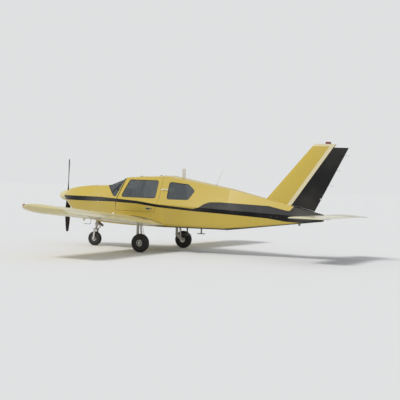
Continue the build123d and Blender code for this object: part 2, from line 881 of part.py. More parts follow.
def wheel(station, reach, radius, width, bead):
    """The rim and the tyre of a wheel that turns on an axle across the fuselage."""
    plane = Plane(origin=(fore(station), reach, radius), x_dir=(0, 1, 0), z_dir=(1, 0, 0))
    axis = Axis((fore(station), reach, radius), (0, 1, 0))
    side = Plane(origin=(fore(station), reach, radius), x_dir=(-1, 0, 0), z_dir=(0, 1, 0))
    rim_half = rim_share * width
    flange = bead - rim_flange
    with BuildPart() as rim:
        with BuildSketch(plane):
            with BuildLine():
                Polyline(
                    (-rim_half, axle_radius + fit), (rim_half, axle_radius + fit), (rim_half, axle_boss),
                    (rim_web, axle_boss), (rim_web, flange), (rim_half, bead - rim_lip),
                    (rim_half, bead), (-rim_half, bead), (-rim_half, bead - rim_lip),
                    (-rim_web, flange), (-rim_web, axle_boss),
                    (-rim_half, axle_boss), close=True,
                )
            make_face()
        revolve(axis=axis)
        with BuildSketch(side.offset(-rim_web)):
            with PolarLocations((axle_boss + flange) / 2, rim_holes):
                Circle((flange - axle_boss) / 2 - rim_land)
        extrude(amount=2 * rim_web, mode=Mode.SUBTRACT)
    depth = radius - bead
    half_section = [(-across * width, bead + up * depth) for across, up in tyre_section]
    with BuildPart() as tyre:
        add(faceted(side, [*half_section, *[(-x, y) for x, y in reversed(half_section)]]))
        with BuildSketch(side.offset(-width)):
            Circle(bead)
        extrude(amount=2 * width, mode=Mode.SUBTRACT)
    return rim, tyre


rim_left, tyre_left = wheel(main_station, track / 2, main_radius, main_width, main_bead)
nose_rim, nose_tyre = wheel(nose_station, 0, nose_radius, nose_width, nose_bead)

disc_face = track / 2 - rim_share * main_width - brake_stand - brake_disc
with BuildPart() as braked_rim_left:
    add(rim_left.part)
    for start, radius, thickness in (
        (disc_face, brake_radius, brake_disc), (disc_face + brake_disc, axle_boss, brake_stand)
    ):
        with BuildSketch(port_side.offset(start)):
            with Locations((main_station, main_radius)):
                Circle(radius)
                Circle(axle_radius + fit, mode=Mode.SUBTRACT)
        extrude(amount=thickness)

# Main leg on the port side: strut, trailing link, oleo and axle, inboard of the wheel
leg_reach = track / 2 - main_width / 2 - tyre_clearance - leg_radius
foot = (main_station - oleo_foot[0], main_radius + oleo_foot[1])
oleo_start = Vector(fore(foot[0]), leg_reach, foot[1])
oleo_end = Vector(fore(main_station - oleo_head[0]), leg_reach, wing_height + oleo_head[1])
with BuildPart() as main_leg_left:
    with BuildSketch(Plane.XY.offset(leg_pivot)):
        with Locations((fore(leg_station), leg_reach)):
            Circle(leg_radius)
    extrude(amount=wing_height - leg_pivot + leg_in_wing)
    with BuildSketch(port_side.offset(leg_reach - link_plate / 2)):
        with Locations(foot):
            Circle(oleo_radius + oleo_eye)
        with Locations((leg_station, leg_pivot)):
            Circle(leg_radius)
        with Locations((main_station, main_radius)):
            Circle(axle_radius + axle_eye)
    extrude(amount=link_plate)
    with BuildSketch(port_side.offset(leg_reach - link_plate / 2)):
        with BuildLine():
            Polyline(
                (leg_station - 24, leg_pivot - 26), (leg_station + 26, leg_pivot + 30),
                (main_station + 16, main_radius + 60), (main_station + 24, main_radius - 20),
                (main_station - 16, main_radius - 26), close=True,
            )
        make_face()
    extrude(amount=link_plate)
    with BuildSketch(Plane(origin=oleo_start, z_dir=oleo_end - oleo_start)):
        Circle(oleo_radius)
    extrude(amount=(oleo_end - oleo_start).length)
    with BuildSketch(port_side.offset(leg_reach)):
        with Locations((main_station, main_radius)):
            Circle(axle_radius)
    extrude(amount=track / 2 - leg_reach + rim_share * main_width + axle_end)
    with BuildSketch(port_side.offset(leg_reach)):
        with Locations((main_station + caliper_back, main_radius)):
            RectangleRounded(*caliper)
    extrude(amount=disc_face - brake_gap - leg_reach)
    add(wing_blank.part, mode=Mode.SUBTRACT)

# Nose leg: a fixed strut on the firewall, and the steered fork that turns in it
with BuildPart() as nose_leg:
    with BuildSketch(strut_plane.offset(strut_start)):
        Circle(strut_radius)
    extrude(amount=strut_end - strut_start)
    for drop in brace_drops:
        height = strut_end - drop
        with BuildSketch(frame_plane(firewall)):
            with Locations((0, nose_radius + height)):
                RectangleRounded(*brace)
        extrude(amount=firewall - nose_station - strut_rake * height)
    with BuildSketch(strut_plane.offset(strut_start)):
        Circle(piston_radius + fit)
    extrude(amount=fork_top + piston_length - strut_start + strut_overtravel, mode=Mode.SUBTRACT)

arm_reach = nose_width / 2 + tyre_clearance + fork_plate / 2
collar_start, collar_depth, collar_wall = steering_collar
link_plane = Plane(origin=strut_plane.origin, x_dir=strut_plane.y_dir, z_dir=(0, 1, 0))
with BuildPart() as nose_fork:
    with BuildSketch(strut_plane):
        with Locations((arm_reach, 0), (-arm_reach, 0)):
            RectangleRounded(*fork_arm)
    extrude(amount=fork_top)
    with BuildSketch(strut_plane.offset(fork_top - fork_crown_depth)):
        RectangleRounded(2 * arm_reach + fork_plate, *fork_crown)
    extrude(amount=fork_crown_depth)
    with BuildSketch(strut_plane.offset(fork_top)):
        Circle(piston_radius)
    extrude(amount=piston_length)
    for start in (-arm_reach - fork_plate / 2, arm_reach - fork_plate / 2):
        with BuildSketch(port_side.offset(start)):
            with Locations((nose_station, nose_radius)):
                Circle(axle_radius + axle_eye)
        extrude(amount=fork_plate)
    with BuildSketch(port_side.offset(-arm_reach)):
        with Locations((nose_station, nose_radius)):
            Circle(axle_radius)
    extrude(amount=2 * arm_reach)
    with BuildSketch(strut_plane.offset(strut_start + collar_start)):
        Circle(strut_radius + collar_wall)
        Circle(strut_radius + fit, mode=Mode.SUBTRACT)
    extrude(amount=collar_depth)
    for pin, next_pin in zip(link_pins, link_pins[1:]):
        with BuildSketch(link_plane.offset(-link_half)):
            with Locations(pin, next_pin):
                Circle(link_radius)
            make_hull()
        extrude(amount=2 * link_half)
    for start in (-arm_reach - fork_plate / 2, arm_reach + fork_plate / 2 - tow_depth):
        with BuildSketch(port_side.offset(start)):
            with Locations((nose_station, nose_radius)):
                Circle(tow_socket)
        extrude(amount=tow_depth, mode=Mode.SUBTRACT)

# Small fittings
with BuildPart() as fin_beacon:
    top_station = on_line(fin_lead, fin_top)
    with BuildSketch(Plane.XY.offset(fin_top)):
        with Locations((fore(top_station + beacon_setback), 0)):
            SlotOverall(*beacon_size)
    extrude(amount=beacon_height, taper=beacon_taper)

with BuildPart() as roof_antenna:
    with BuildSketch(Plane.XY.offset(antenna_root)):
        with Locations((fore(antenna_station), 0)):
            RectangleRounded(*antenna_section)
    extrude(amount=antenna_height - antenna_root)
    add(body_solid, mode=Mode.SUBTRACT)

pieces = {
    "cowling_upper": cowling_upper,
    "cowling_lower": cowling_lower,
    "engine_block": engine_block,
    "exhaust_pipe": exhaust_pipe,
    "spinner": spinner,
    "propeller": propeller,
    "cabin_top": cabin_top,
    "cabin_tub": cabin_tub,
    "windscreen": windscreen,
    "rear_fuselage": rear_fuselage,
    "instrument_panel": instrument_panel,
    "control_yokes": control_yokes,
    "rear_bench": rear_bench,
    "seat_frames": seat_frames,
    "fin": fin,
    "rudder": rudder,
    "stabilator": stabilator,
    "trim_tab": trim_tab,
    "nose_leg": nose_leg,
    "nose_fork": nose_fork,
    "nose_rim": nose_rim,
    "nose_tyre": nose_tyre,
    "fin_beacon": fin_beacon,
    "roof_antenna": roof_antenna,
}
port_pieces = {
    "door": door_left,
    "door_window": door_window_left,
    "rear_window": rear_window_left,
    "front_seat": front_seat_left,
    "wing": wing_left,
    "wing_tip": wing_tip_left,
    "flap": flap_left,
    "aileron": aileron_left,
    "main_leg": main_leg_left,
    "main_rim": braked_rim_left,
    "main_tyre": tyre_left,
}
for name, port_piece in port_pieces.items():
    with BuildPart() as starboard_piece:
        mirror(port_piece.part, about=Plane.XZ)
    pieces[name + "_left"] = port_piece
    pieces[name + "_right"] = starboard_piece

for name, piece in pieces.items():
    piece.part.label = name
    export_step(piece.part, f"parts/{name}.step")
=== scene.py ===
# %% [markdown]
# # Dressing a four-seat low-wing aeroplane
# The metal shapes come from CAD and are already in place. This lesson gives them paint, glass and
# rubber, and adds the parts that a workshop would fit last: tyres, lights, seals, handles, cushions.
# Everything is in metres. X points forward, Y to the port side and Z up, and the wheels stand on Z = 0.

import math
from functools import reduce

import bmesh
import bpy
from mathutils import Matrix, Vector
from mathutils.bvhtree import BVHTree

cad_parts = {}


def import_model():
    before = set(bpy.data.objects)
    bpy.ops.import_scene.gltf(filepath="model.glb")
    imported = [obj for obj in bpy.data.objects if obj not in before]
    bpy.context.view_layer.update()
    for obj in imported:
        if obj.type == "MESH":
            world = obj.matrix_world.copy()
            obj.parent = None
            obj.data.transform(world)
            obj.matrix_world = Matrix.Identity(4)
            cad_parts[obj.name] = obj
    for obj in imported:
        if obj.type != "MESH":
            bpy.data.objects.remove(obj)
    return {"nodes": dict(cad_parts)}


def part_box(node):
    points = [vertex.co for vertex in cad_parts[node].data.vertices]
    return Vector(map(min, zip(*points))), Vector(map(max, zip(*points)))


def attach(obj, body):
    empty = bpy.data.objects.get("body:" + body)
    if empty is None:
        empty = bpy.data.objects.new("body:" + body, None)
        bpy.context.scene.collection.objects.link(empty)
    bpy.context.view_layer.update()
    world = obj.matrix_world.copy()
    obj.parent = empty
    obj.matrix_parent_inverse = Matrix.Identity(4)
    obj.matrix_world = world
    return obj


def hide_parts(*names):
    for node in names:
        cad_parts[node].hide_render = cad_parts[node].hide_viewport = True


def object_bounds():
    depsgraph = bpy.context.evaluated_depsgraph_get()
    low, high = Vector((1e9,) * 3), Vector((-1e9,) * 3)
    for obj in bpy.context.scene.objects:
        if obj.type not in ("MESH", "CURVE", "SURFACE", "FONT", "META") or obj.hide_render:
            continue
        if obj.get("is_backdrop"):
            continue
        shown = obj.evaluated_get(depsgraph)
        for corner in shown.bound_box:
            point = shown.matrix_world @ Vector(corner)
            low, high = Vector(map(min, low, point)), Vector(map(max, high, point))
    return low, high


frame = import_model()
cad_low, cad_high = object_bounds()
print("CAD box", [round(v, 3) for v in (*cad_low, *cad_high)])


# %% [markdown]
# Drawings of an aeroplane count distances aft from the tip of the spinner, and call them stations.
# One small function turns a station into X, so the rest of the lesson can talk in stations too. The
# directions and the two sides get names as well.

# %% Stations, directions and sides
NOSE = cad_high.x
FORE, AFT, PORT, UP, DOWN = (1, 0, 0), (-1, 0, 0), (0, 1, 0), (0, 0, 1), (0, 0, -1)
SIDES = (("left", 1), ("right", -1))


def fore(station):
    return NOSE - station


print("stations run from 0 to", round(NOSE - cad_low.x, 3))


# %% [markdown]
# Every new piece goes through the same door: a bmesh becomes an object at the origin, gets its
# finish and a name, and is hung on the body that carries it. Smooth shading with a limit angle keeps
# round things round and corners crisp, which is cheaper than bevelling every edge.

# %% Hang a bmesh on a body
def mesh_of(name, bm):
    """Empties a bmesh into a new mesh."""
    mesh = bpy.data.meshes.new(name)
    bm.to_mesh(mesh)
    bm.free()
    return mesh


def linked(name, data):
    """A new object at the origin, linked to the scene."""
    made = bpy.data.objects.new(name, data)
    bpy.context.scene.collection.objects.link(made)
    return made


def smoothed(mesh, angle):
    mesh.shade_smooth()
    mesh.set_sharp_from_angle(angle=math.radians(angle))


def piece(name, bm, finish, body="airframe", angle=35):
    bmesh.ops.remove_doubles(bm, verts=bm.verts[:], dist=1e-5)
    bmesh.ops.recalc_face_normals(bm, faces=bm.faces[:])
    made = linked(name, mesh_of(name, bm))
    smoothed(made.data, angle)
    made.data.materials.append(finish)
    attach(made, body)
    print(name, "on", body, "has", len(made.data.polygons), "faces")
    return made


# %% [markdown]
# Shader maths reads badly as rows of Math nodes. This class wraps one socket and gives it Python's
# operators, so a stripe can be written as a comparison of heights. Each operator adds one Math node,
# and the class lists which. The swapped one makes 1 - mask work, where the value stands second.

# %% Sockets with operators
def maths_node(operation, swapped=False):
    """A method that adds one Math node to the finish."""
    def method(self, *others):
        inputs = (*others, self) if swapped else (self, *others)
        return self.finish.node("ShaderNodeMath", {"operation": operation}, dict(enumerate(inputs)))

    return method


class Value:
    def __init__(self, finish, link):
        self.finish = finish
        self.link = link

    __add__ = __radd__ = maths_node("ADD")
    __sub__ = maths_node("SUBTRACT")
    __rsub__ = maths_node("SUBTRACT", swapped=True)
    __mul__ = __rmul__ = maths_node("MULTIPLY")
    __truediv__ = maths_node("DIVIDE")
    __gt__ = maths_node("GREATER_THAN")
    __lt__ = maths_node("LESS_THAN")
    __abs__ = maths_node("ABSOLUTE")
    either = maths_node("MAXIMUM")
    whole = maths_node("ROUND")
    root = maths_node("SQRT")
    sine = maths_node("SINE")

    def soft(self, low, high):
        """Rises from 0 to 1 as this value goes from low to high."""
        return self.finish.node(
            "ShaderNodeMapRange",
            {"interpolation_type": "SMOOTHSTEP", "clamp": True},
            {"Value": self, "From Min": low, "From Max": high},
        )


# %% [markdown]
# A finish is a material under construction. Its one node method makes any node from its type, its
# settings and what goes into its sockets. Settings come first, because some of them change the sockets.

# %% Finishes
class Finish:
    def __init__(self, name, colour=(0.5, 0.5, 0.5), roughness=0.5, **constants):
        self.material = bpy.data.materials.new(name)
        self.material.use_nodes = True
        self.tree = self.material.node_tree
        self.shader = self.tree.nodes["Principled BSDF"]
        self.set(base_color=(*colour, 1), roughness=roughness, **constants)
        self.where = self.node("ShaderNodeTexCoord", out="Object")
        self.x, self.y, self.z = (
            self.node("ShaderNodeSeparateXYZ", {}, {0: self.where}, axis) for axis in ("X", "Y", "Z")
        )

    def feed(self, socket, value):
        if isinstance(value, Value):
            self.tree.links.new(value.link, socket)
        else:
            socket.default_value = value

    def set(self, **sockets):
        """Feeds the shader's sockets, which are named in small letters here, such as base_color."""
        for key, value in sockets.items():
            name = key.replace("_", " ").title().replace("Ior", "IOR")
            self.feed(self.shader.inputs[name], value)

    def node(self, kind, settings=None, sockets=None, out=0):
        made = self.tree.nodes.new(kind)
        for key, value in (settings or {}).items():
            if key == "points":
                curve = made.mapping.curves[0]
                curve.points[0].location, curve.points[1].location = value[0], value[-1]
                for point in value[1:-1]:
                    curve.points.new(*point)
                for point in curve.points:
                    point.handle_type = "VECTOR"
                made.mapping.update()
            else:
                setattr(made, key, value)
        for key, value in (sockets or {}).items():
            self.feed(made.inputs[key], value)
        return Value(self, made.outputs[out])

    def noise(self, scale, detail=3.0, stretch=None):
        where = self.where
        if stretch:
            where = self.node("ShaderNodeMapping", {}, {"Vector": where, "Scale": stretch})
        return self.node("ShaderNodeTexNoise", {}, {"Vector": where, "Scale": scale, "Detail": detail}, "Fac")

    def mix(self, share, first, second):
        first, second = ((*c, 1) if isinstance(c, tuple) else c for c in (first, second))
        return self.node("ShaderNodeMix", {"data_type": "RGBA"}, {0: share, 6: first, 7: second}, 2)

    def bump(self, height, strength=0.3, distance=0.001):
        sockets = {"Height": height, "Strength": strength, "Distance": distance}
        self.set(normal=self.node("ShaderNodeBump", {}, sockets, "Normal"))


# %% [markdown]
# ## The camera
# The photograph was taken from behind the port wing at eye height, about 25 metres off, so the
# camera goes there too. It leans a little, as the hand-held shot did, and a long lens fills the frame.

# %% Camera
EYE = Vector((-10.866, 22.763, 1.7925))
LOOK_AT = Vector((-0.16, 0.0, 1.28))
LEAN = 0.0356
FOCAL_LENGTH = 93

forward = (LOOK_AT - EYE).normalized()
level = forward.cross(Vector(UP)).normalized()
upright = level.cross(forward)
right = level * math.cos(LEAN) + upright * math.sin(LEAN)
top = upright * math.cos(LEAN) - level * math.sin(LEAN)
lens = bpy.data.cameras.new("long_lens")
lens.lens = FOCAL_LENGTH
lens.sensor_width = 36
camera = linked("camera", lens)
camera.matrix_world = Matrix.Translation(EYE) @ Matrix((right, top, -forward)).transposed().to_4x4()
bpy.context.scene.camera = camera
print("camera to target", round((LOOK_AT - EYE).length, 2), "m")


# %% [markdown]
# ## The studio
# A wide pale floor takes the shadow. One broad lamp, as wide as a bank of cloud, stands for the key
# light from ahead of the port wing, and the world fills the rest. The camera, mirrors and glass see a
# plain pale backdrop in place of the fill light, so the horizon doesn't cut the picture.

# %% Floor and key light
FLOOR = (0.80, 0.79, 0.77)
KEY_POWER, KEY_SPREAD = 1.9, 16
KEY_RAY = Vector((-0.35, -0.75, -0.95))

disc = bmesh.new()
bmesh.ops.create_circle(disc, cap_ends=True, segments=96, radius=160)
floor = linked("floor", mesh_of("floor", disc))
floor.data.materials.append(Finish("pale_floor", FLOOR, 0.9).material)
floor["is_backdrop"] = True
lamp = bpy.data.lights.new("key", "SUN")
lamp.energy = KEY_POWER
lamp.angle = math.radians(KEY_SPREAD)
linked("key", lamp).rotation_euler = KEY_RAY.to_track_quat("-Z", "Y").to_euler()
print("key light of", KEY_POWER, "over", KEY_SPREAD, "degrees")

# %% World
FILL, FILL_POWER = (0.90, 0.94, 1.0, 1), 0.52
BACKDROP = (0.740, 0.750, 0.755, 1)


def world():
    studio = bpy.data.worlds.new("studio")
    studio.use_nodes = True
    bpy.context.scene.world = studio
    nodes, links = studio.node_tree.nodes, studio.node_tree.links
    fill = nodes["Background"]
    fill.inputs["Color"].default_value = FILL
    fill.inputs["Strength"].default_value = FILL_POWER
    plain = nodes.new("ShaderNodeBackground")
    plain.inputs["Color"].default_value = BACKDROP
    path = nodes.new("ShaderNodeLightPath")
    seen = path.outputs["Is Camera Ray"]
    for ray in ("Is Glossy Ray", "Is Transmission Ray"):
        either = nodes.new("ShaderNodeMath")
        either.operation = "MAXIMUM"
        links.new(seen, either.inputs[0])
        links.new(path.outputs[ray], either.inputs[1])
        seen = either.outputs[0]
    blend = nodes.new("ShaderNodeMixShader")
    for slot, output in enumerate((seen, fill.outputs[0], plain.outputs[0])):
        links.new(output, blend.inputs[slot])
    links.new(blend.outputs[0], nodes["World Output"].inputs["Surface"])
    return studio


studio = world()
bpy.context.scene.view_settings.view_transform = "Standard"
print("the world has", len(studio.node_tree.nodes), "nodes")


# %% [markdown]
# ## Paint
# All paints fade slowly, are faintly streaked and have an even gloss with soft smears. Rivets and
# panel laps are too small to model, so they are bumps. Both are masks, which are one where the mark
# is: a distance to the nearest row or rib is compared with the size of the mark.

# %% Weather, rivets and seams
YELLOW = (0.56, 0.415, 0.075)
CREAM = (0.64, 0.565, 0.30)
BLACK = (0.006, 0.006, 0.007)
STRIP = (0.70, 0.62, 0.40)
TRIM = (0.33, 0.32, 0.30)
FADED, GRIME = (0.62, 0.57, 0.46), (0.25, 0.21, 0.15)
GLOSS = {"coat_weight": 0.35, "coat_roughness": 0.12, "specular_ior_level": 0.12}
RIVET = 0.003


def glossy(name):
    paint = Finish(name, **GLOSS)
    paint.station = NOSE - paint.x
    return paint


def weather(paint, colour, dirt=0.06):
    faded = paint.mix(paint.noise(0.9).soft(0.35, 0.75) * dirt * 1.5, colour, FADED)
    streaks = paint.noise(3, 5, (0.18, 1, 1)).soft(0.5, 0.8) * dirt
    paint.set(base_color=paint.mix(streaks, faded, GRIME), roughness=paint.noise(2.5, 4) * 0.14 + 0.22)


def off_rows(value, pitch):
    """How far a value is from the nearest of many rows, a pitch apart."""
    rows = value / pitch
    return abs(rows - rows.whole()) * pitch


def dots(across, along):
    """Round rivet heads, where both distances are small."""
    return 1 - (across * across + along * along).root().soft(RIVET / 2, RIVET)


def plain_paint(name, colour, dirt=0.06, **constants):
    paint = Finish(name, **{**GLOSS, **constants})
    weather(paint, colour, dirt)
    return paint.material


# %% [markdown]
# The hull is mustard yellow with a black line that starts under the cowling's split, thins along the
# cabin, opens into a broad band behind it and covers the tail cone under the rudder. Two curves give
# the line's upper and lower edge at each station and a third gives the top of the dark belly, so one
# material paints every panel and the line runs on across their seams. The dark belly is painted shade:
# it stands in for the shadow under the hull. Inside, the same panels are trimmed in grey: a surface
# that faces the cabin's axis is inside.

# %% Hull paint
LINE_TOP = [
    (0, 1.262), (1.5, 1.262), (1.95, 1.24), (2.61, 1.205), (3.17, 1.14), (4.08, 1.075), (4.22, 1.11),
    (4.34, 1.2), (4.46, 1.245), (4.7, 1.255), (5.9, 1.215), (6.3, 1.13), (6.4, 1.12), (6.51, 1.27),
    (8, 1.27),
]
LINE_FOOT = [
    (0, 1.150), (1.5, 1.152), (1.95, 1.157), (2.61, 1.138), (3.17, 1.075), (4.1, 1.015), (5.0, 0.975),
    (5.9, 0.925), (6.3, 0.87), (8, 0.8),
]
# Top of the black belly at each station: painted shade, standing in for the shadow under the hull.
BELLY = [(0, 0.4), (2.9, 0.5), (3.1, 0.615), (4.8, 0.63), (5.3, 0.68), (6.3, 0.805), (7.2, 0.925), (8, 1)]
CURVE_LONG, CURVE_TALL = 8, 2
CABIN_AXIS, CABIN_START, CABIN_END = 1.22, 1.5, 4.19
LAPS = (4.80, 5.45, 6.10)
RIVET_ROWS = (4.22, 4.82, 5.47, 6.12, 6.85)


def edge_height(paint, points):
    """The height of a painted edge at each station."""
    scaled = [(a / CURVE_LONG, b / CURVE_TALL) for a, b in points]
    along = {"Value": paint.station / CURVE_LONG}
    return paint.node("ShaderNodeFloatCurve", {"points": scaled}, along) * CURVE_TALL


def facing(paint, direction):
    """How far the surface faces a direction, which may change from place to place."""
    normal = paint.node("ShaderNodeNewGeometry", out="Normal")
    spaces = {"vector_type": "NORMAL", "convert_from": "WORLD", "convert_to": "OBJECT"}
    sides = {0: paint.node("ShaderNodeVectorTransform", spaces, {0: normal}), 1: direction}
    return paint.node("ShaderNodeVectorMath", {"operation": "DOT_PRODUCT"}, sides, "Value")


def hull_paint():
    paint = glossy("hull_paint")
    line = (paint.z < edge_height(paint, LINE_TOP)) * (paint.z > edge_height(paint, LINE_FOOT))
    # The black line above is real paint; the black below the belly curve is painted shade.
    dark = line.either(paint.z < edge_height(paint, BELLY))
    spoke = paint.node("ShaderNodeCombineXYZ", {}, {"Y": paint.y, "Z": paint.z - CABIN_AXIS})
    inside = (facing(paint, spoke) < -0.02).either(abs(facing(paint, FORE)) > 0.8)
    cabin = inside * (paint.station > CABIN_START) * (paint.station < CABIN_END)
    weather(paint, paint.mix(cabin, paint.mix(dark, YELLOW, BLACK), TRIM))
    along = off_rows(paint.z, 0.055)
    heads = reduce(Value.either, (dots(abs(paint.station - row), along) for row in RIVET_ROWS))
    seams = reduce(Value.either, (abs(paint.station - lap) < 0.0012 for lap in LAPS))
    paint.bump(heads - seams * 2)
    paint.set(coat_weight=GLOSS["coat_weight"] - dark * 0.32)
    return paint.material


hull = hull_paint()
print("hull paint uses", len(hull.node_tree.nodes), "nodes")


# %% [markdown]
# The wings, the fin and the tailplane are plainer. The wings are a creamier yellow with a black
# walkway by the root, the fin ends in a cream strip and a cream cap, and the tailplane is cream above
# and nearly black below, which is painted shade for the shade under it.

# %% Wing, fin and tail paint
WALKWAY_REACH, WALKWAY_STATIONS, WALKWAY_FLOOR = (0.70, 0.98), (2.34, 3.02), 0.66
RIB_PITCH, SPAR = 0.31, 2.55
HINGE_FOOT, HINGE_TOP = (6.42, 1.255), (7.392, 2.634)
STRIP_WIDTH, STRIP_FOOT, CAP_FOOT = 0.125, 1.2, 2.645
TAILPLANE_MIDDLE = 1.008


def on_line(height, foot, top):
    """The station at a height, on a straight line through two points of station and height."""
    return (height - foot[1]) * ((top[0] - foot[0]) / (top[1] - foot[1])) + foot[0]


def wing_paint():
    paint = glossy("wing_paint")
    reach = abs(paint.y)
    walkway = (reach < WALKWAY_REACH[1]) * (reach > WALKWAY_REACH[0])
    walkway *= (paint.station > WALKWAY_STATIONS[0]) * (paint.station < WALKWAY_STATIONS[1])
    weather(paint, paint.mix(walkway * (paint.z > WALKWAY_FLOOR), CREAM, (0.02, 0.02, 0.02)), 0.04)
    heads = dots(off_rows(reach, RIB_PITCH), off_rows(paint.station, 0.05))
    spar = abs(paint.station - SPAR) < 0.0015
    paint.bump(heads.either(spar) + walkway * paint.noise(420, 2), 0.2, 0.0006)
    return paint.material


def fin_paint():
    paint = glossy("fin_paint")
    ahead = on_line(paint.z, HINGE_FOOT, HINGE_TOP) - paint.station
    strip = (ahead < STRIP_WIDTH) * (paint.z > STRIP_FOOT)
    weather(paint, paint.mix(strip.either(paint.z > CAP_FOOT), YELLOW, STRIP))
    return paint.material


def tailplane_paint():
    paint = glossy("tailplane_paint")
    # The nearly black underside is painted shade, standing in for the shade beneath the tailplane.
    weather(paint, paint.mix(paint.z > TAILPLANE_MIDDLE, (0.03, 0.028, 0.025), (0.70, 0.65, 0.45)))
    return paint.material


wing_finish = wing_paint()
fin_finish = fin_paint()
tailplane_finish = tailplane_paint()
black_paint = plain_paint("black_paint", BLACK, 0.03, coat_weight=0.05, specular_ior_level=0.2)
spinner_paint = plain_paint("spinner_paint", (0.66, 0.59, 0.33))
leg_paint = plain_paint("leg_paint", (0.50, 0.49, 0.46), 0.15)
antenna_paint = plain_paint("antenna_paint", (0.62, 0.61, 0.56))
print("wing paint uses", len(wing_finish.node_tree.nodes), "nodes")


# %% [markdown]
# ## Glass, rubber and metal
# The panes are smoked acrylic. Seen against the dark cabin they need little more than a tint, an
# alpha and a clear gloss. Rubber is nearly black with a dusty bloom, and the metals differ in
# roughness more than in colour.

# %% Glass, rubber and metal finishes
def glass_finish(name, colour, alpha):
    glass = Finish(name, colour, 0.03, alpha=alpha, coat_weight=1.0, coat_roughness=0.02)
    smear = glass.noise(7).soft(0.45, 0.8)
    glass.set(roughness=smear * 0.08 + 0.02, alpha=smear * 0.06 + alpha)
    return glass.material


def rubber_finish():
    rubber = Finish("tyre_rubber", (0.02, 0.02, 0.02), 0.8)
    dust = rubber.noise(30, 5).soft(0.4, 0.8)
    rubber.set(base_color=rubber.mix(dust * 0.5, (0.014, 0.014, 0.014), (0.06, 0.055, 0.045)))
    rubber.set(roughness=rubber.noise(60) * 0.2 + 0.65)
    rubber.bump(rubber.noise(180, 4), 0.4, 0.0008)
    return rubber.material


def metal_finish(name, colour, roughness, metallic=1.0, grain=60.0):
    metal = Finish(name, colour, roughness, metallic=metallic)
    wear = metal.noise(grain, 5)
    shade = tuple(c * 0.45 for c in colour)
    metal.set(base_color=metal.mix(wear.soft(0.45, 0.8) * 0.6, colour, shade))
    metal.set(roughness=wear * 0.25 + roughness - 0.1)
    metal.bump(metal.noise(grain * 4), 0.15, 0.0005)
    return metal.material


cabin_glass = glass_finish("smoked_glass", (0.075, 0.09, 0.095), 0.56)
rubber = rubber_finish()
alloy = metal_finish("cast_alloy", (0.62, 0.62, 0.60), 0.38)
steel = metal_finish("brake_steel", (0.42, 0.41, 0.39), 0.3, grain=120)
burnt_steel = metal_finish("burnt_steel", (0.20, 0.15, 0.11), 0.5)
cast_iron = metal_finish("engine_iron", (0.16, 0.16, 0.17), 0.6, 0.6)
dark_plastic = metal_finish("dark_plastic", (0.03, 0.03, 0.032), 0.55, 0.0, 200)
seal_rubber = metal_finish("seal_rubber", (0.015, 0.015, 0.015), 0.6, 0.0, 90)
grit_black = metal_finish("grit_black", (0.02, 0.02, 0.02), 0.8, 0.0, 400)
lens_clear = glass_finish("lens_clear", (0.75, 0.77, 0.78), 0.75)
lens_red = glass_finish("lens_red", (0.55, 0.015, 0.01), 0.9)
lens_green = glass_finish("lens_green", (0.01, 0.33, 0.12), 0.9)
beacon_glass = glass_finish("beacon_glass", (0.17, 0.012, 0.010), 0.9)
print("there are", len(bpy.data.materials), "materials")


# %% [markdown]
# Now the CAD nodes take their finishes, from one table. A node keeps its shape and its place, and
# only its material changes. Left and right nodes share a line of the table.

# %% Finishes for the CAD nodes
NODES_BY_FINISH = (
    (hull, "cowling_upper cowling_lower cabin_top cabin_tub rear_fuselage door"),
    (wing_finish, "wing wing_tip flap aileron"),
    (fin_finish, "fin"),
    (tailplane_finish, "stabilator trim_tab"),
    (black_paint, "propeller rudder"),
    (spinner_paint, "spinner"),
    (leg_paint, "nose_leg nose_fork main_leg"),
    (antenna_paint, "roof_antenna"),
    (cabin_glass, "windscreen door_window rear_window"),
    (beacon_glass, "fin_beacon"),
    (rubber, "nose_tyre main_tyre"),
    (alloy, "nose_rim main_rim"),
    (cast_iron, "engine_block"),
    (burnt_steel, "exhaust_pipe"),
    (dark_plastic, "instrument_panel control_yokes rear_bench front_seat seat_frames"),
)
finish_of = {name: finish for finish, names in NODES_BY_FINISH for name in names.split()}
for name, node in frame["nodes"].items():
    node.data.materials.clear()
    node.data.materials.append(finish_of[name.removesuffix("_left").removesuffix("_right")])
print("finishes for", len(frame["nodes"]), "nodes")


# %% [markdown]
# ## Discs, blocks, balls and tubes
# A few small makers cover most fittings. Discs, blocks and balls are placed by a matrix, whose Z axis
# leaves the skin. A tube follows a line of points, for seals and wires. The last maker here gathers
# several parts in one piece.

# %% Discs, blocks and balls
def at(x, y, z):
    return Matrix.Translation((x, y, z))


def turn(angle, axis="Z"):
    return Matrix.Rotation(angle, 4, axis)


def add_disc(bm, place, radius, height, top=None, segments=24):
    """Adds a disc, or a cone where top is given, that stands on a place and rises along its Z axis."""
    bmesh.ops.create_cone(
        bm, cap_ends=True, segments=segments, radius1=radius, radius2=radius if top is None else top,
        depth=height, matrix=place @ at(0, 0, height / 2),
    )


def add_block(bm, place, size, bevel=0.0):
    made = bmesh.ops.create_cube(bm, size=1, matrix=place @ Matrix.Diagonal((*size, 1)))
    if bevel:
        edges = list(dict.fromkeys(e for v in made["verts"] for e in v.link_edges))
        bmesh.ops.bevel(
            bm, geom=edges, offset=bevel, segments=3, profile=0.5, affect="EDGES", material=-1
        )


def add_ball(bm, place, size, rings=12):
    bmesh.ops.create_uvsphere(
        bm, u_segments=2 * rings, v_segments=rings, radius=1, matrix=place @ Matrix.Diagonal((*size, 1))
    )


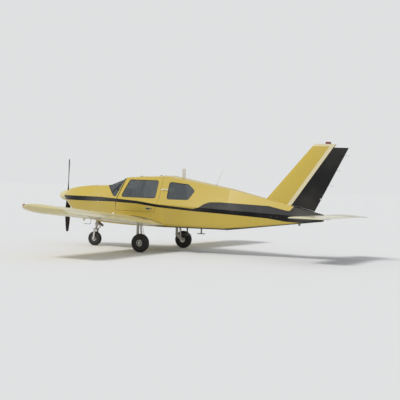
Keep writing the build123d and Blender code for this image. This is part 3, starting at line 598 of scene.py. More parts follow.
# %% Tubes and pieces of several parts
def tubes(name, runs, finish, body="airframe", closed=False):
    """One piece from several round tubes, each given as its points and its radius."""
    bm = bmesh.new()
    for points, radius in runs:
        line = bpy.data.curves.new("line", "CURVE")
        line.dimensions = "3D"
        line.bevel_depth = radius
        line.bevel_resolution = 3
        line.use_fill_caps = not closed
        spline = line.splines.new("POLY")
        spline.points.add(len(points) - 1)
        for slot, point in zip(spline.points, points):
            slot.co = (*point, 1)
        spline.use_cyclic_u = closed
        held = bpy.data.objects.new("line", line)
        bm.from_mesh(bpy.data.meshes.new_from_object(held))
        bpy.data.objects.remove(held)
    return piece(name, bm, finish, body, 60)


def verts_of(geometry):
    """The vertices among what an operator made."""
    return [v for v in geometry if isinstance(v, bmesh.types.BMVert)]


def fitted(name, finish, *parts, body="airframe"):
    """One piece from several parts, each given as its maker and what the maker takes."""
    bm = bmesh.new()
    for maker, *values in parts:
        maker(bm, *values)
    return piece(name, bm, finish, body)


# %% [markdown]
# ## Spinner
# A spinner is pressed from one disc of metal and has two mouths for the blades. A short outline is
# spun about the propeller's axis, and two upright cylinders cut the mouths with a Boolean modifier.

# %% Modifiers, cuts and spins
def settled(held):
    """The mesh that an object has once its modifiers have worked."""
    bpy.context.view_layer.update()
    return bpy.data.meshes.new_from_object(held.evaluated_get(bpy.context.evaluated_depsgraph_get()))


def carve(target, cutter):
    """Cuts a cutter's shape out of a piece and keeps the result as its mesh."""
    cut = target.modifiers.new("cut", "BOOLEAN")
    cut.object = cutter
    cut.solver = "EXACT"
    result = settled(target)
    target.modifiers.remove(cut)
    target.data = result
    bpy.data.objects.remove(cutter)


def spun(points, axis, centre, steps=64):
    """A chain of points, turned a full circle about an axis."""
    bm = bmesh.new()
    verts = [bm.verts.new(p) for p in points]
    edges = [bm.edges.new(pair) for pair in zip(verts, verts[1:])]
    bmesh.ops.spin(
        bm, geom=verts + edges, cent=centre, axis=axis, angle=math.tau, steps=steps, use_merge=True
    )
    return bm


# %% Spinner
THRUST = 1.25
BLADE_STATION = 0.25
SPINNER_LONG, SPINNER_BACK, SPINNER_RADIUS = 0.318, 0.321, 0.15
MOUTH_RADIUS, MOUTH_DEEP, MOUTH_REACH = 0.058, 0.12, 0.13
SPINNER_ANGLE = 40


def spinner_piece():
    outline = [(fore(0), 0, THRUST)]
    for share in (0.012, 0.04, 0.1, 0.2, 0.33, 0.5, 0.7, 0.87, 1.0):
        radius = SPINNER_RADIUS * math.sin(math.acos(1 - share)) ** 1.05
        outline.append((fore(SPINNER_LONG * share), 0, THRUST + radius))
    outline += [(fore(SPINNER_BACK), 0, THRUST + radius) for radius in (0.149, 0.12, 0)]
    shell = spun(outline, FORE, (fore(0), 0, THRUST))
    made = piece("spinner_shell", shell, spinner_paint, "propeller", SPINNER_ANGLE)
    for way in (-1, 1):
        mouth = bmesh.new()
        foot = THRUST + way * MOUTH_REACH - MOUTH_DEEP / 2
        add_disc(mouth, at(fore(BLADE_STATION), 0, foot), MOUTH_RADIUS, MOUTH_DEEP, segments=40)
        carve(made, linked("mouth", mesh_of("mouth", mouth)))
    smoothed(made.data, SPINNER_ANGLE)
    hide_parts("spinner")
    return made


spinner_shell = spinner_piece()
print("with its mouths it has", len(spinner_shell.data.polygons), "faces")


# %% [markdown]
# ## Propeller
# A blade is broad in the middle and twists less and less towards its tip. A short table gives its
# chord, its two bulges and its pitch, a cubic reads the table between its rows, and each section is a
# circle pressed into a lens. Bridged sections make one blade, and half a turn makes the other.

# %% Propeller blades
BLADE = [
    (0.045, 0.076, 0.038, 0.038, 48), (0.160, 0.102, 0.025, 0.013, 42), (0.330, 0.138, 0.017, 0.006, 33),
    (0.540, 0.147, 0.013, 0.004, 25), (0.740, 0.128, 0.009, 0.003, 19), (0.880, 0.098, 0.006, 0.002, 15),
    (0.928, 0.070, 0.004, 0.0015, 14), (0.939, 0.036, 0.002, 0.001, 14),
]
BLADE_RINGS = 40


def between(rows, radius):
    """Reads a table at a radius between its rows, along a smooth curve through all of them."""
    last = len(rows) - 1
    i = max(k for k in range(last) if rows[k][0] <= radius)
    gap = rows[i + 1][0] - rows[i][0]
    t = (radius - rows[i][0]) / gap

    def slope(k, column):
        a, b = rows[max(k - 1, 0)], rows[min(k + 1, last)]
        return (b[column] - a[column]) / (b[0] - a[0]) * gap

    return [
        (1 + 2 * t) * (1 - t) ** 2 * rows[i][c] + t * (1 - t) ** 2 * slope(i, c)
        + t * t * (3 - 2 * t) * rows[i + 1][c] - t * t * (1 - t) * slope(i + 1, c)
        for c in range(1, 5)
    ]


def blade_section(bm, radius):
    """One lens-shaped ring of a blade, at a distance from the propeller's axis."""
    chord, rise, drop, pitch = between(BLADE, radius)
    verts = bmesh.ops.create_circle(bm, segments=36, radius=1)["verts"]
    twist = turn(math.radians(pitch - 90))
    for vert in verts:
        x, y = vert.co.x, vert.co.y
        vert.co = (x * chord / 2, y * abs(y) * (rise if y > 0 else drop), 0)
        vert.co = twist @ vert.co + Vector((fore(BLADE_STATION), 0, THRUST + radius))
    return [edge for edge in bm.edges if edge.verts[0] in verts and edge.verts[1] in verts]


# %% Both blades and the hub
def propeller_piece():
    bm = bmesh.new()
    first, tip = BLADE[0][0], BLADE[-1][0]
    shares = ((i / BLADE_RINGS) ** 0.9 for i in range(BLADE_RINGS + 1))
    loops = [blade_section(bm, first + (tip - first) * share) for share in shares]
    for a, b in zip(loops, loops[1:]):
        bmesh.ops.bridge_loops(bm, edges=a + b)
    bmesh.ops.holes_fill(bm, edges=loops[0] + loops[-1], sides=0)
    other = bmesh.ops.duplicate(bm, geom=bm.verts[:] + bm.edges[:] + bm.faces[:])["geom"]
    half_turn = Matrix.Rotation(math.pi, 3, "X")
    bmesh.ops.rotate(bm, cent=(fore(BLADE_STATION), 0, THRUST), matrix=half_turn, verts=verts_of(other))
    add_disc(bm, at(fore(0.312), 0, THRUST) @ turn(math.pi / 2, "Y"), 0.060, 0.118)
    made = piece("propeller_dressed", bm, black_paint, "propeller", 50)
    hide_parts("propeller")


propeller_piece()


# %% [markdown]
# ## Tyres
# A small aeroplane's tyre is round-shouldered and has three plain grooves round it. Its section is
# drawn once, groove by groove, and spun about the axle. The section closes on itself at the beads.

# %% Tyres
def tyre_outline(width, bead, radius):
    """A section from bead to bead, as pairs of half width and radius."""
    deep = radius - bead
    half = [
        (0.34, 0.00), (0.40, 0.03), (0.44, 0.10), (0.475, 0.22), (0.495, 0.36), (0.50, 0.48),
        (0.49, 0.60), (0.465, 0.72), (0.43, 0.82), (0.385, 0.90), (0.33, 0.945), (0.29, 0.962),
        (0.282, 0.925), (0.248, 0.928), (0.24, 0.977), (0.16, 0.992), (0.05, 0.998),
        (0.042, 0.955), (0.0, 0.955),
    ]
    left = [(-a * width, bead + b * deep) for a, b in half]
    return left + [(-a, b) for a, b in reversed(left[:-1])]


def wheel_tyre(name, node, body, width, bead):
    low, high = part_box(node)
    hub = (low + high) / 2
    radius = (high.z - low.z) / 2
    points = [(hub.x, hub.y + a, hub.z + b) for a, b in tyre_outline(width, bead, radius)]
    points.append(points[0])
    made = piece(name, spun(points, PORT, hub, 72), rubber, body, 50)
    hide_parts(node)


wheel_tyre("nose_tyre_dressed", "nose_tyre", "nose_wheel", 0.126, 0.064)
for side, _ in SIDES:
    wheel_tyre(f"main_tyre_dressed_{side}", f"main_tyre_{side}", f"main_wheel_{side}", 0.15, 0.076)


# %% [markdown]
# ## Finding the skin
# Small fittings have to sit on the hull, not near it. A ray tester gives the point and the slope of
# the skin wherever a ray meets it, so each fitting is placed by one ray, from the side, from above or
# from below.

# %% Rays against the skin
def skin_of(*names):
    """A ray tester for some CAD nodes or finished pieces together."""
    whole = bmesh.new()
    for name in names:
        held = frame["nodes"][name] if name in frame["nodes"] else bpy.data.objects[name]
        whole.from_mesh(held.data)
    tree = BVHTree.FromBMesh(whole)
    whole.free()
    return tree


def meet(tree, start, direction):
    """The point and the outward slope where a ray meets a skin."""
    point, normal, _, _ = tree.ray_cast(Vector(start), Vector(direction).normalized())
    if point is None:
        raise ValueError(f"the ray from {start} meets nothing")
    return point, (-normal if normal.dot(Vector(direction)) > 0 else normal)


def beside(station, height, way=1):
    """The hull's side. Way 1 is port and -1 is starboard."""
    return meet(hull_skin, (fore(station), 3 * way, height), (0, -way, 0))


def above(tree, station, reach=0.0):
    return meet(tree, (fore(station), reach, 3), DOWN)


def below(tree, station, reach=0.0):
    return meet(tree, (fore(station), reach, 0), UP)


# %% Seats for the fittings
def seat_on(point, normal, along=FORE):
    """A matrix on the skin, with Z leaving it and X as near to along as the skin lets it."""
    up = Vector(normal).normalized()
    first = (Vector(along) - up * Vector(along).dot(up)).normalized()
    second = up.cross(first)
    return Matrix.Translation(point) @ Matrix((first, second, up)).transposed().to_4x4()


hull_skin = skin_of(
    "cowling_upper", "cowling_lower", "cabin_top", "cabin_tub", "rear_fuselage", "door_left", "door_right"
)
wing_parts = ("wing", "wing_tip", "flap", "aileron")
wing_skin = skin_of(*(f"{part}_{side}" for part in wing_parts for side, _ in SIDES))
print("skin beside the door", [round(v, 3) for v in beside(2.95, 1.1)[0]])


# %% [markdown]
# ## Window seals
# Each pane sits in a black rubber strip. The strip follows the pane's own outer edge, read from the
# CAD mesh: an edge belongs to it where the outer face, which looks away from the cabin, turns
# sharply into the pane's rim. The edges are walked into one closed line, and a tube follows it.

# %% Window seals
def outer_edge(node):
    """The closed outer edge of a pane, as points in order."""
    bm = bmesh.new()
    bm.from_mesh(frame["nodes"][node].data)
    bmesh.ops.remove_doubles(bm, verts=bm.verts[:], dist=1e-5)
    lean = 0.35 if node == "windscreen" else 0
    links = {}
    for edge in bm.edges:
        if len(edge.link_faces) != 2 or edge.calc_face_angle(0) < 0.9:
            continue
        for face in edge.link_faces:
            centre = face.calc_center_median()
            spoke = Vector((lean, centre.y, max(centre.z - 1.3, 0.12)))
            if face.normal.dot(spoke.normalized()) > 0.6:
                a, b = edge.verts
                links.setdefault(a, []).append(b)
                links.setdefault(b, []).append(a)
                break
    loops = []
    while links:
        path, last = [next(iter(links))], None
        while True:
            options = [v for v in links.get(path[-1], []) if v is not last]
            if not options or options[0] in path:
                break
            last = path[-1]
            path.append(options[0])
        for v in path:
            links.pop(v, None)
        loops.append([v.co.copy() for v in path])
    bm.free()
    return thinned(max(loops, key=len), 0.006)


def thinned(points, gap):
    kept = [points[0]]
    for point in points[1:]:
        if (point - kept[-1]).length > gap:
            kept.append(point)
    return kept


for side, _ in SIDES:
    for pane, body in (("door_window", f"door_{side}"), ("rear_window", "airframe")):
        run = outer_edge(f"{pane}_{side}")
        tubes(f"{pane}_seal_{side}", [(run, 0.009)], seal_rubber, body, closed=True)
tubes("windscreen_seal", [(outer_edge("windscreen"), 0.010)], seal_rubber, closed=True)


# %% [markdown]
# ## Plates that hug the skin
# A hatch is thin and follows the hull's curve. A square gets round corners from a vertex bevel and a
# few cuts across it, every corner is dropped on to the skin by a ray, and one extrusion gives the
# sheet its thickness. Screws are dropped on to the skin in the same way.

# %% Skin-hugging plates
DROP = 0.6
SUNK = 0.001


def hug(bm, tree, centre, toward, size, thickness, corner=0.015, cuts=8, along=FORE):
    """Adds a plate with round corners, dropped on to the skin from a point, in one direction."""
    place = seat_on(centre, -Vector(toward), along)
    first, second, up = (place.col[i].xyz for i in range(3))
    plate = bmesh.new()
    square = place @ Matrix.Diagonal((*size, 1, 1))
    bmesh.ops.create_grid(plate, x_segments=1, y_segments=1, size=0.5, matrix=square)
    bmesh.ops.bevel(
        plate, geom=plate.verts[:], offset=corner, segments=5, profile=0.5, affect="VERTICES", material=-1
    )
    for direction, reach in ((first, size[0]), (second, size[1])):
        for step in range(1, cuts):
            geom = plate.verts[:] + plate.edges[:] + plate.faces[:]
            middle = Vector(centre) + direction * reach * (step / cuts - 0.5)
            bmesh.ops.bisect_plane(plate, geom=geom, plane_co=middle, plane_no=direction)
    for vert in plate.verts:
        vert.co = meet(tree, vert.co + up * DROP, -up)[0] - up * SUNK
    top = bmesh.ops.extrude_face_region(plate, geom=plate.faces[:])["geom"]
    bmesh.ops.translate(plate, verts=verts_of(top), vec=up * (thickness + SUNK))
    bm.from_mesh(mesh_of("plate", plate))


def add_screw(bm, place, radius=0.006, height=0.002):
    """A domed screw head with a slot bar across it."""
    add_disc(bm, place, radius, height, radius * 0.7, 14)
    add_block(bm, place @ at(0, 0, height), (radius * 1.2, radius * 0.25, 0.0008))


def add_hatch(plates, screws, tree, centre, toward, size, corner=0.015, inset=0.014):
    """A thin cover plate, and a screw near each of its corners."""
    hug(plates, tree, centre, toward, size, 0.0018, corner)
    place = seat_on(centre, -Vector(toward))
    for a in (-1, 1):
        for b in (-1, 1):
            spot = place @ Vector((a * (size[0] / 2 - inset), b * (size[1] / 2 - inset), DROP))
            add_screw(screws, seat_on(*meet(tree, spot, toward)))


# %% [markdown]
# ## Cowling fittings
# The upper cowling lifts off for the daily look at the engine, so a row of quarter-turn fasteners runs
# along the split. Ahead of the windscreen is a small hinged door to the oil filler. Each air intake
# has a rolled lip, and a landing light looks out below the propeller.

# %% Cowling fasteners and oil door
COWL_SPLIT, COWL_END = 1.272, 1.475

fasteners = bmesh.new()
for way in (-1, 1):
    for station in (0.50, 0.66, 0.82, 0.98, 1.14, 1.30, 1.45):
        add_screw(fasteners, seat_on(*beside(station, COWL_SPLIT, way)), 0.010, 0.003)
    for height in (0.80, 0.92, 1.04, 1.16, 1.36, 1.46):
        add_screw(fasteners, seat_on(*beside(COWL_END, height, way)), 0.007)
for reach in (-0.26, -0.13, 0.0, 0.13, 0.26):
    add_screw(fasteners, seat_on(*above(hull_skin, COWL_END, reach)), 0.007)
piece("cowling_fasteners", fasteners, alloy)

OIL_DOOR = 1.12
fitted("oil_door", hull, (hug, hull_skin, (fore(OIL_DOOR), 0.19, 1.5), DOWN, (0.19, 0.14), 0.0025))
fitted("oil_door_latch", alloy, (add_screw, seat_on(*above(hull_skin, OIL_DOOR, 0.243)), 0.012, 0.005))
hinge_run = [above(hull_skin, OIL_DOOR - 0.09 + 0.02 * i, 0.115)[0] for i in range(10)]
tubes("oil_door_hinge", [(hinge_run, 0.0035)], alloy)

# %% Intake lips and landing light
COWL_FACE = fore(0.33)


def rounded(width, height, radius, steps=6):
    """A rounded rectangle as points round the origin."""
    points = []
    for quarter, (sx, sy) in enumerate(((1, 1), (-1, 1), (-1, -1), (1, -1))):
        for step in range(steps + 1):
            angle = (quarter + step / steps) * math.pi / 2
            points.append((
                sx * (width / 2 - radius) + radius * math.cos(angle),
                sy * (height / 2 - radius) + radius * math.sin(angle),
            ))
    return points


lips = [
    ([(COWL_FACE, way * 0.226 + a, THRUST + b) for a, b in rounded(0.112, 0.088, 0.034)], 0.007)
    for way in (-1, 1)
]
tubes("intake_lips", lips, hull, closed=True)
light = at(COWL_FACE, 0, 1.132) @ turn(math.pi / 2, "Y")
fitted("landing_light_bezel", alloy, (add_disc, light, 0.046, 0.008, 0.041, 40))
fitted("landing_light_lens", lens_clear, (add_ball, light @ at(0, 0, 0.006), (0.037, 0.037, 0.009), 16))


# %% [markdown]
# ## Door and hull fittings
# Each door has a lever in a shallow plate below its window, and a lock beside the lever. A grab
# handle behind the door helps people up from the step. Small plates cover the places that a mechanic
# has to reach, and each is held by screws near its corners.

# %% Door and grab handles
HANDLE_STATION, HANDLE_HEIGHT = 2.92, 1.035
GRAB_STATIONS, GRAB_HEIGHT, GRAB_RISE = (3.245, 3.365), 1.50, (-0.004, 0.03, 0.042)

for side, way in SIDES:
    door = f"door_{side}"
    middle = (fore(HANDLE_STATION), 0.7 * way, HANDLE_HEIGHT)
    fitted(
        f"door_handle_plate_{side}", alloy,
        (hug, hull_skin, middle, (0, -way, 0), (0.15, 0.05), 0.002, 0.012, 4), body=door,
    )
    place = seat_on(*beside(HANDLE_STATION, HANDLE_HEIGHT, way))
    fitted(
        f"door_handle_{side}", dark_plastic,
        (add_block, place @ at(0.005, 0, 0.016), (0.11, 0.022, 0.008), 0.003),
        (add_disc, place @ at(0.048, 0, 0), 0.009, 0.016),
        (add_disc, place @ at(-0.095, 0, 0), 0.010, 0.004), body=door,
    )
    ends = [seat_on(*beside(station, GRAB_HEIGHT, way)) for station in GRAB_STATIONS]
    run = [ends[0] @ Vector((0, 0, h)) for h in GRAB_RISE]
    run += [ends[1] @ Vector((0, 0, h)) for h in GRAB_RISE[::-1]]
    tubes(f"grab_handle_{side}", [(run, 0.008)], alloy)
    fitted(f"grab_handle_feet_{side}", alloy, *((add_disc, end, 0.018, 0.003) for end in ends))

# %% Access plates
SIDE_HATCHES = ((4.62, 0.80, (0.20, 0.14)), (6.05, 0.93, (0.16, 0.10)))
BELLY_HATCHES, BELLY_HATCH = (1.75, 2.0, 4.45, 5.25), (0.15, 0.20)

plates, screws = bmesh.new(), bmesh.new()
for way in (-1, 1):
    for station, height, size in SIDE_HATCHES:
        add_hatch(plates, screws, hull_skin, (fore(station), way, height), (0, -way, 0), size)
for station in BELLY_HATCHES:
    add_hatch(plates, screws, hull_skin, (fore(station), 0, 0.2), UP, BELLY_HATCH)
piece("hull_access_plates", plates, hull)
piece("hull_access_screws", screws, alloy)


# %% [markdown]
# ## Wing fittings
# A fuel cap sits in each wing's top. Under each wing are four inspection plates and a drain. The port
# wing carries the pitot mast and the stall vane. The tips carry the navigation lights, red to port
# and green to starboard, and a rubber strip seals the joint between wing and hull.

# %% Fuel caps, inspection plates and drains
FUEL_CAP, DRAIN = (2.55, 1.62), (2.85, 0.95)
WING_HATCH_STATION, WING_HATCH_REACHES, WING_HATCH = 2.66, (1.25, 2.2, 3.2, 4.1), (0.15, 0.11)

caps, drains = bmesh.new(), bmesh.new()
wing_plates, wing_screws = bmesh.new(), bmesh.new()
for way in (-1, 1):
    place = seat_on(*above(wing_skin, FUEL_CAP[0], FUEL_CAP[1] * way))
    add_disc(caps, place, 0.052, 0.003, 0.050, 40)
    add_disc(caps, place, 0.040, 0.008, 0.036, 40)
    add_block(caps, place @ at(0, 0, 0.010), (0.058, 0.012, 0.006), 0.002)
    for reach in WING_HATCH_REACHES:
        centre = (fore(WING_HATCH_STATION), reach * way, 0.4)
        add_hatch(wing_plates, wing_screws, wing_skin, centre, UP, WING_HATCH, 0.03, 0.015)
    add_disc(drains, seat_on(*below(wing_skin, DRAIN[0], DRAIN[1] * way)), 0.008, 0.018, 0.005)
piece("fuel_caps", caps, alloy)
piece("wing_access_plates", wing_plates, wing_finish)
piece("wing_access_screws", wing_screws, alloy)
piece("fuel_drains", drains, alloy)


# %% Root seals
ROOT_START, ROOT_LONG, ROOT_HEIGHT = 2.14, 1.14, 0.76


def root_seam(way):
    """Where the wing's top meets the hull, found by turns: out to the hull, then down to the wing."""
    run = []
    for step in range(31):
        height = ROOT_HEIGHT
        for _ in range(5):
            side_point = beside(ROOT_START + ROOT_LONG * step / 30, height, way)[0]
            height = meet(wing_skin, (side_point.x, side_point.y + way * 0.004, 1.5), DOWN)[0].z
        run.append(Vector((side_point.x, side_point.y, height)))
    return run


tubes("wing_root_seals", [(root_seam(way), 0.009) for way in (-1, 1)], seal_rubber)

# %% Pitot mast and stall vane
MAST = (2.50, 2.55)
VANE_REACH, VANE_HEIGHT = 2.9, 0.848

mast = seat_on(*below(wing_skin, *MAST))
mast_top, mast_end, elbow = (mast @ Vector((0, 0, z)) for z in (-0.004, 0.09, 0.11))
bend, nozzle, tip = (elbow + Vector((x, 0, 0)) for x in (0.02, 0.14, 0.19))
pitot_run = [mast_top, mast_end, bend, nozzle]
tubes("pitot_mast", [(pitot_run, 0.008), ([nozzle, tip], 0.0045)], alloy)

vane = seat_on(*meet(wing_skin, (3, VANE_REACH, VANE_HEIGHT), AFT), PORT)
fitted(
    "stall_vane", alloy,
    (add_block, vane @ at(0, 0, 0.001), (0.05, 0.03, 0.003), 0.001),
    (add_block, vane @ at(0, 0, 0.014), (0.018, 0.001, 0.026)),
)

# %% Navigation lights
LIGHT_REACH, TIP_CREST = 4.79, 2.6

for (side, way), glass in zip(SIDES, (lens_red, lens_green)):
    reach = LIGHT_REACH * way
    crest = above(wing_skin, TIP_CREST, reach)[0].z
    place = seat_on(*meet(wing_skin, (3, reach, crest - 0.03), AFT), PORT)
    fitted(f"nav_light_base_{side}", dark_plastic, (add_ball, place, (0.052, 0.030, 0.010), 14))
    fitted(f"nav_light_{side}", glass, (add_ball, place @ at(0, 0, 0.008), (0.036, 0.020, 0.020), 14))


# %% [markdown]
# ## Cushions
# The seats are foam under a tweed cover. A hard block would give them away through the glass, so each
# cushion starts a little too small, is remeshed into even quads, and is blown up like a balloon by
# Blender's cloth. Gravity is off, no point may move further than a cap, and what rests on the frame
# stays flat. The sewn channels come last, because a remesh would wipe them out.

# %% Tweed
YARNS = 1500


def tweed():
    cloth = Finish("seat_tweed", (0.16, 0.13, 0.10), 0.9, sheen_weight=0.25, sheen_roughness=0.5)
    over = ((cloth.x * 0.6 + cloth.z) * YARNS).sine()
    weave = over * (cloth.y * YARNS).sine() * 0.5 + 0.5
    fleck = cloth.noise(260, 2).soft(0.55, 0.7)
    yarn = cloth.mix(weave, (0.10, 0.082, 0.065), (0.21, 0.175, 0.13))
    worn = cloth.mix(cloth.noise(4).soft(0.4, 0.8) * 0.35, yarn, (0.30, 0.26, 0.20))
    cloth.set(base_color=cloth.mix(fleck * 0.4, worn, (0.05, 0.045, 0.04)), roughness=fleck * 0.08 + 0.86)
    cloth.bump(weave + cloth.noise(500, 2) * 0.5, 0.5, 0.0006)
    return cloth.material


seat_tweed = tweed()
print("tweed uses", len(seat_tweed.node_tree.nodes), "nodes")

# %% Cloth pressure
SEAT_TOP = 0.8603
SEAT_MIDDLE, SEAT_HALF, BENCH_HALF = 0.265, 0.183, 0.340
VOXEL, PRESSURE, CLOTH_STEPS = 0.009, 4, 20
CUSHION_BEVEL, CHANNEL_DEEP, CHANNEL_HALF = 0.022, 0.007, 0.008


def swell(pad, cap):
    """Lets cloth pressure push a mesh out, but no point further than the cap or below the seat frame."""
    start = [v.co.copy() for v in pad.data.vertices]
    cloth = pad.modifiers.new("cloth", "CLOTH")
    cloth.settings.use_pressure = True
    cloth.settings.uniform_pressure_force = PRESSURE
    cloth.settings.effector_weights.gravity = 0
    cloth.settings.quality = 4
    for step in range(1, CLOTH_STEPS + 1):
        bpy.context.scene.frame_set(step)
    swollen = settled(pad)
    for vert, spot, moved in zip(pad.data.vertices, start, swollen.vertices):
        shift = moved.co - spot
        if shift.length > cap:
            shift *= cap / shift.length
        vert.co = spot + shift
        vert.co.z = max(vert.co.z, SEAT_TOP)
    pad.modifiers.remove(cloth)
    bpy.context.scene.frame_set(1)


# %% Remeshing and smoothing
def stuffed(bm, cap):
    """Remeshes a closed shape, swells it and rounds it off."""
    pad = linked("stuffing", mesh_of("stuffing", bm))
    grid = pad.modifiers.new("grid", "REMESH")
    grid.mode = "VOXEL"
    grid.voxel_size = VOXEL
    even = settled(pad)
    pad.modifiers.remove(grid)
    pad.data = even
    swell(pad, cap)
    smooth = pad.modifiers.new("finer", "SUBSURF")
    smooth.levels = smooth.render_levels = 1
    finer = settled(pad)
    bpy.data.objects.remove(pad)
    return finer


# %% Blocks and sewn channels
def cushion_block(outline, near, far):
    """A block with rounded edges, from a side outline of stations and heights."""
    bm = bmesh.new()
    face = bm.faces.new([bm.verts.new((fore(s), near, z)) for s, z in outline])
    made = bmesh.ops.extrude_face_region(bm, geom=[face])["geom"]
    bmesh.ops.translate(bm, verts=verts_of(made), vec=(0, far - near, 0))
    bmesh.ops.recalc_face_normals(bm, faces=bm.faces[:])
    bmesh.ops.bevel(
        bm, geom=bm.edges[:], offset=CUSHION_BEVEL, segments=4, profile=0.5, affect="EDGES", material=-1
    )
    return bm


def sew(mesh, channels):
    """Draws the cover in along sewn channels, which run at the given distances to port."""
    normals = [Vector(vert.normal) for vert in mesh.vertices]
    for vert, normal in zip(mesh.vertices, normals):
        pull = sum(math.exp(-(((vert.co.y - channel) / CHANNEL_HALF) ** 2)) for channel in channels)
        vert.co -= normal * CHANNEL_DEEP * pull


# %% One cushion, on one or both sides
def cushion(name, outline, near, far, cap, channels, sides=("",), nodes=()):
    """Makes a cushion once and hangs it on one or both sides of the cabin."""
    mesh = stuffed(cushion_block(outline, near, far), cap)
    sew(mesh, channels)
    for side in sides:
        bm = bmesh.new()
        bm.from_mesh(mesh)
        if side == "_right":
            bmesh.ops.scale(bm, vec=(1, -1, 1), verts=bm.verts[:])
        made = piece(name + side, bm, seat_tweed, "airframe", 180)
        for node in nodes:
            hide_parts(node + side)


# %% [markdown]
# Each cushion is drawn from the side, by station and height, and goes from its near edge to its far
# one. The two front seats are made once and mirrored, and the bench spans the cabin.

# %% Seats and bench
pair = ("_left", "_right")
near, far = SEAT_MIDDLE - SEAT_HALF, SEAT_MIDDLE + SEAT_HALF
front_channels = [SEAT_MIDDLE + a for a in (-0.115, -0.04, 0.04, 0.115)]
bench_channels = [way * a for way in (-1, 1) for a in (0.03, 0.14, 0.25)]


def over_frame(*points):
    """Stations and heights, with the heights counted from the top of the seat frame."""
    return [(station, SEAT_TOP + height) for station, height in points]


cushion(
    "seat_cushion", over_frame((2.45, 0), (2.45, 0.085), (2.885, 0.07), (2.965, 0)),
    near, far, 0.016, front_channels, pair, ("front_seat",),
)
cushion(
    "seat_back", over_frame((2.925, 0.085), (3.058, 0.605), (3.145, 0.59), (3.018, 0.05)),
    near, far, 0.014, front_channels, pair,
)
cushion(
    "headrest", [(3.068, 1.545), (3.10, 1.665), (3.150, 1.655), (3.130, 1.535)],
    SEAT_MIDDLE - 0.10, SEAT_MIDDLE + 0.10, 0.010, (), pair,
)
cushion(
    "bench_cushion", over_frame((3.45, 0), (3.45, 0.092), (3.835, 0.072), (3.915, 0)),
    -BENCH_HALF, BENCH_HALF, 0.016, bench_channels, nodes=("rear_bench",),
)
cushion(
    "bench_back", over_frame((3.875, 0.085), (4.005, 0.530), (4.080, 0.512), (3.965, 0.05)),
    -BENCH_HALF, BENCH_HALF, 0.014, bench_channels,
)


# %% [markdown]
# Posts carry the headrests, and webbing belts lie over the cushions. A belt is flat and follows the
# cushion, so it is made like the hatches: a plate dropped on to the finished cushions.

# %% Headrest posts and belts
def webbing():
    strap = Finish("belt_webbing", (0.05, 0.05, 0.055), 0.7)
    rib = ((strap.x + strap.y + strap.z) * WEBBING_RIBS).sine() * 0.5 + 0.5
    strap.set(base_color=strap.mix(rib, (0.03, 0.03, 0.034), (0.075, 0.075, 0.08)))
    strap.set(roughness=rib * 0.15 + 0.6)
    strap.bump(rib, 0.4, 0.0005)
    return strap.material


WEBBING_RIBS = 2600
BELT_WIDTH = 0.045
BELT = (0.003, 0.004, 14)
SEAT_BELT, BENCH_BELT, SHOULDER_BELT = 2.80, 3.74, 2.90
BACK_SLOPE = (-0.133, 0, 0.52)
BACK_FACE = (-0.97, 0, -0.24)

belts, buckles, posts = bmesh.new(), bmesh.new(), []


def add_lap_belt(skin, station, centre, long):
    hug(belts, skin, (fore(station), centre, 1.2), DOWN, (long, BELT_WIDTH), *BELT, along=PORT)
    add_block(buckles, seat_on(*above(skin, station, centre)), (0.06, 0.055, 0.018), 0.004)


for side, way in SIDES:
    seat_skin = skin_of(f"seat_cushion_{side}", f"seat_back_{side}")
    centre = SEAT_MIDDLE * way
    add_lap_belt(seat_skin, SEAT_BELT, centre, 0.30)
    shoulder = (fore(SHOULDER_BELT), centre + 0.075 * way, 1.22)
    hug(belts, seat_skin, shoulder, BACK_FACE, (0.38, BELT_WIDTH), *BELT, along=BACK_SLOPE)
    for reach in (-0.055, 0.055):
        foot = Vector((fore(3.10), centre + reach, 1.42))
        posts.append(([foot, foot + Vector((-0.02, 0, 0.15))], 0.006))
bench_skin = skin_of("bench_cushion", "bench_back")
for centre in (-0.17, 0.17):
    add_lap_belt(bench_skin, BENCH_BELT, centre, 0.28)
piece("seat_belts", belts, webbing())
piece("belt_buckles", buckles, steel)
tubes("headrest_posts", posts, steel)


# %% [markdown]
# ## Instruments
# The panel carries six flight dials before the left seat, a column of radios in the middle and eight
# engine dials on the right. Each dial is a bezel, a dark face, a ring of ticks and a pointer. The
# faces carry no lettering. Below the flight dials is a row of switches.

# %% Dials
PANEL_FACE = fore(1.99)
panel_place = at(PANEL_FACE, 0, 0) @ Matrix(((0, 0, -1), (-1, 0, 0), (0, 1, 0))).to_4x4()
bezels, faces, marks = bmesh.new(), bmesh.new(), bmesh.new()


def on_panel(reach, height, lift=0.0):
    """A place on the panel, with X to the right, Y up and Z towards the seats."""
    return panel_place @ at(-reach, height, lift)


def add_dial(place, radius, pointer):
    add_disc(bezels, place, radius, 0.008, radius * 0.93, 32)
    add_disc(faces, place @ at(0, 0, 0.0075), radius * 0.86, 0.001, segments=32)
    for tick in range(12):
        spot = place @ turn(tick * math.tau / 12) @ at(0, radius * 0.74, 0.0088)
        add_block(marks, spot, (radius * 0.05, radius * 0.16, 0.0006))
    spot = place @ turn(pointer) @ at(0, radius * 0.28, 0.0095)
    add_block(marks, spot, (radius * 0.08, radius * 0.62, 0.0006))


dials = [(0.37 - 0.094 * i, 1.41 - 0.095 * j, 0.042) for i in range(3) for j in range(2)]
dials += [(-0.17 - 0.068 * i, 1.42 - 0.07 * j, 0.030) for i in range(4) for j in range(2)]
for order, (reach, height, radius) in enumerate(dials):
    add_dial(on_panel(reach, height), radius, 2.1 * order)

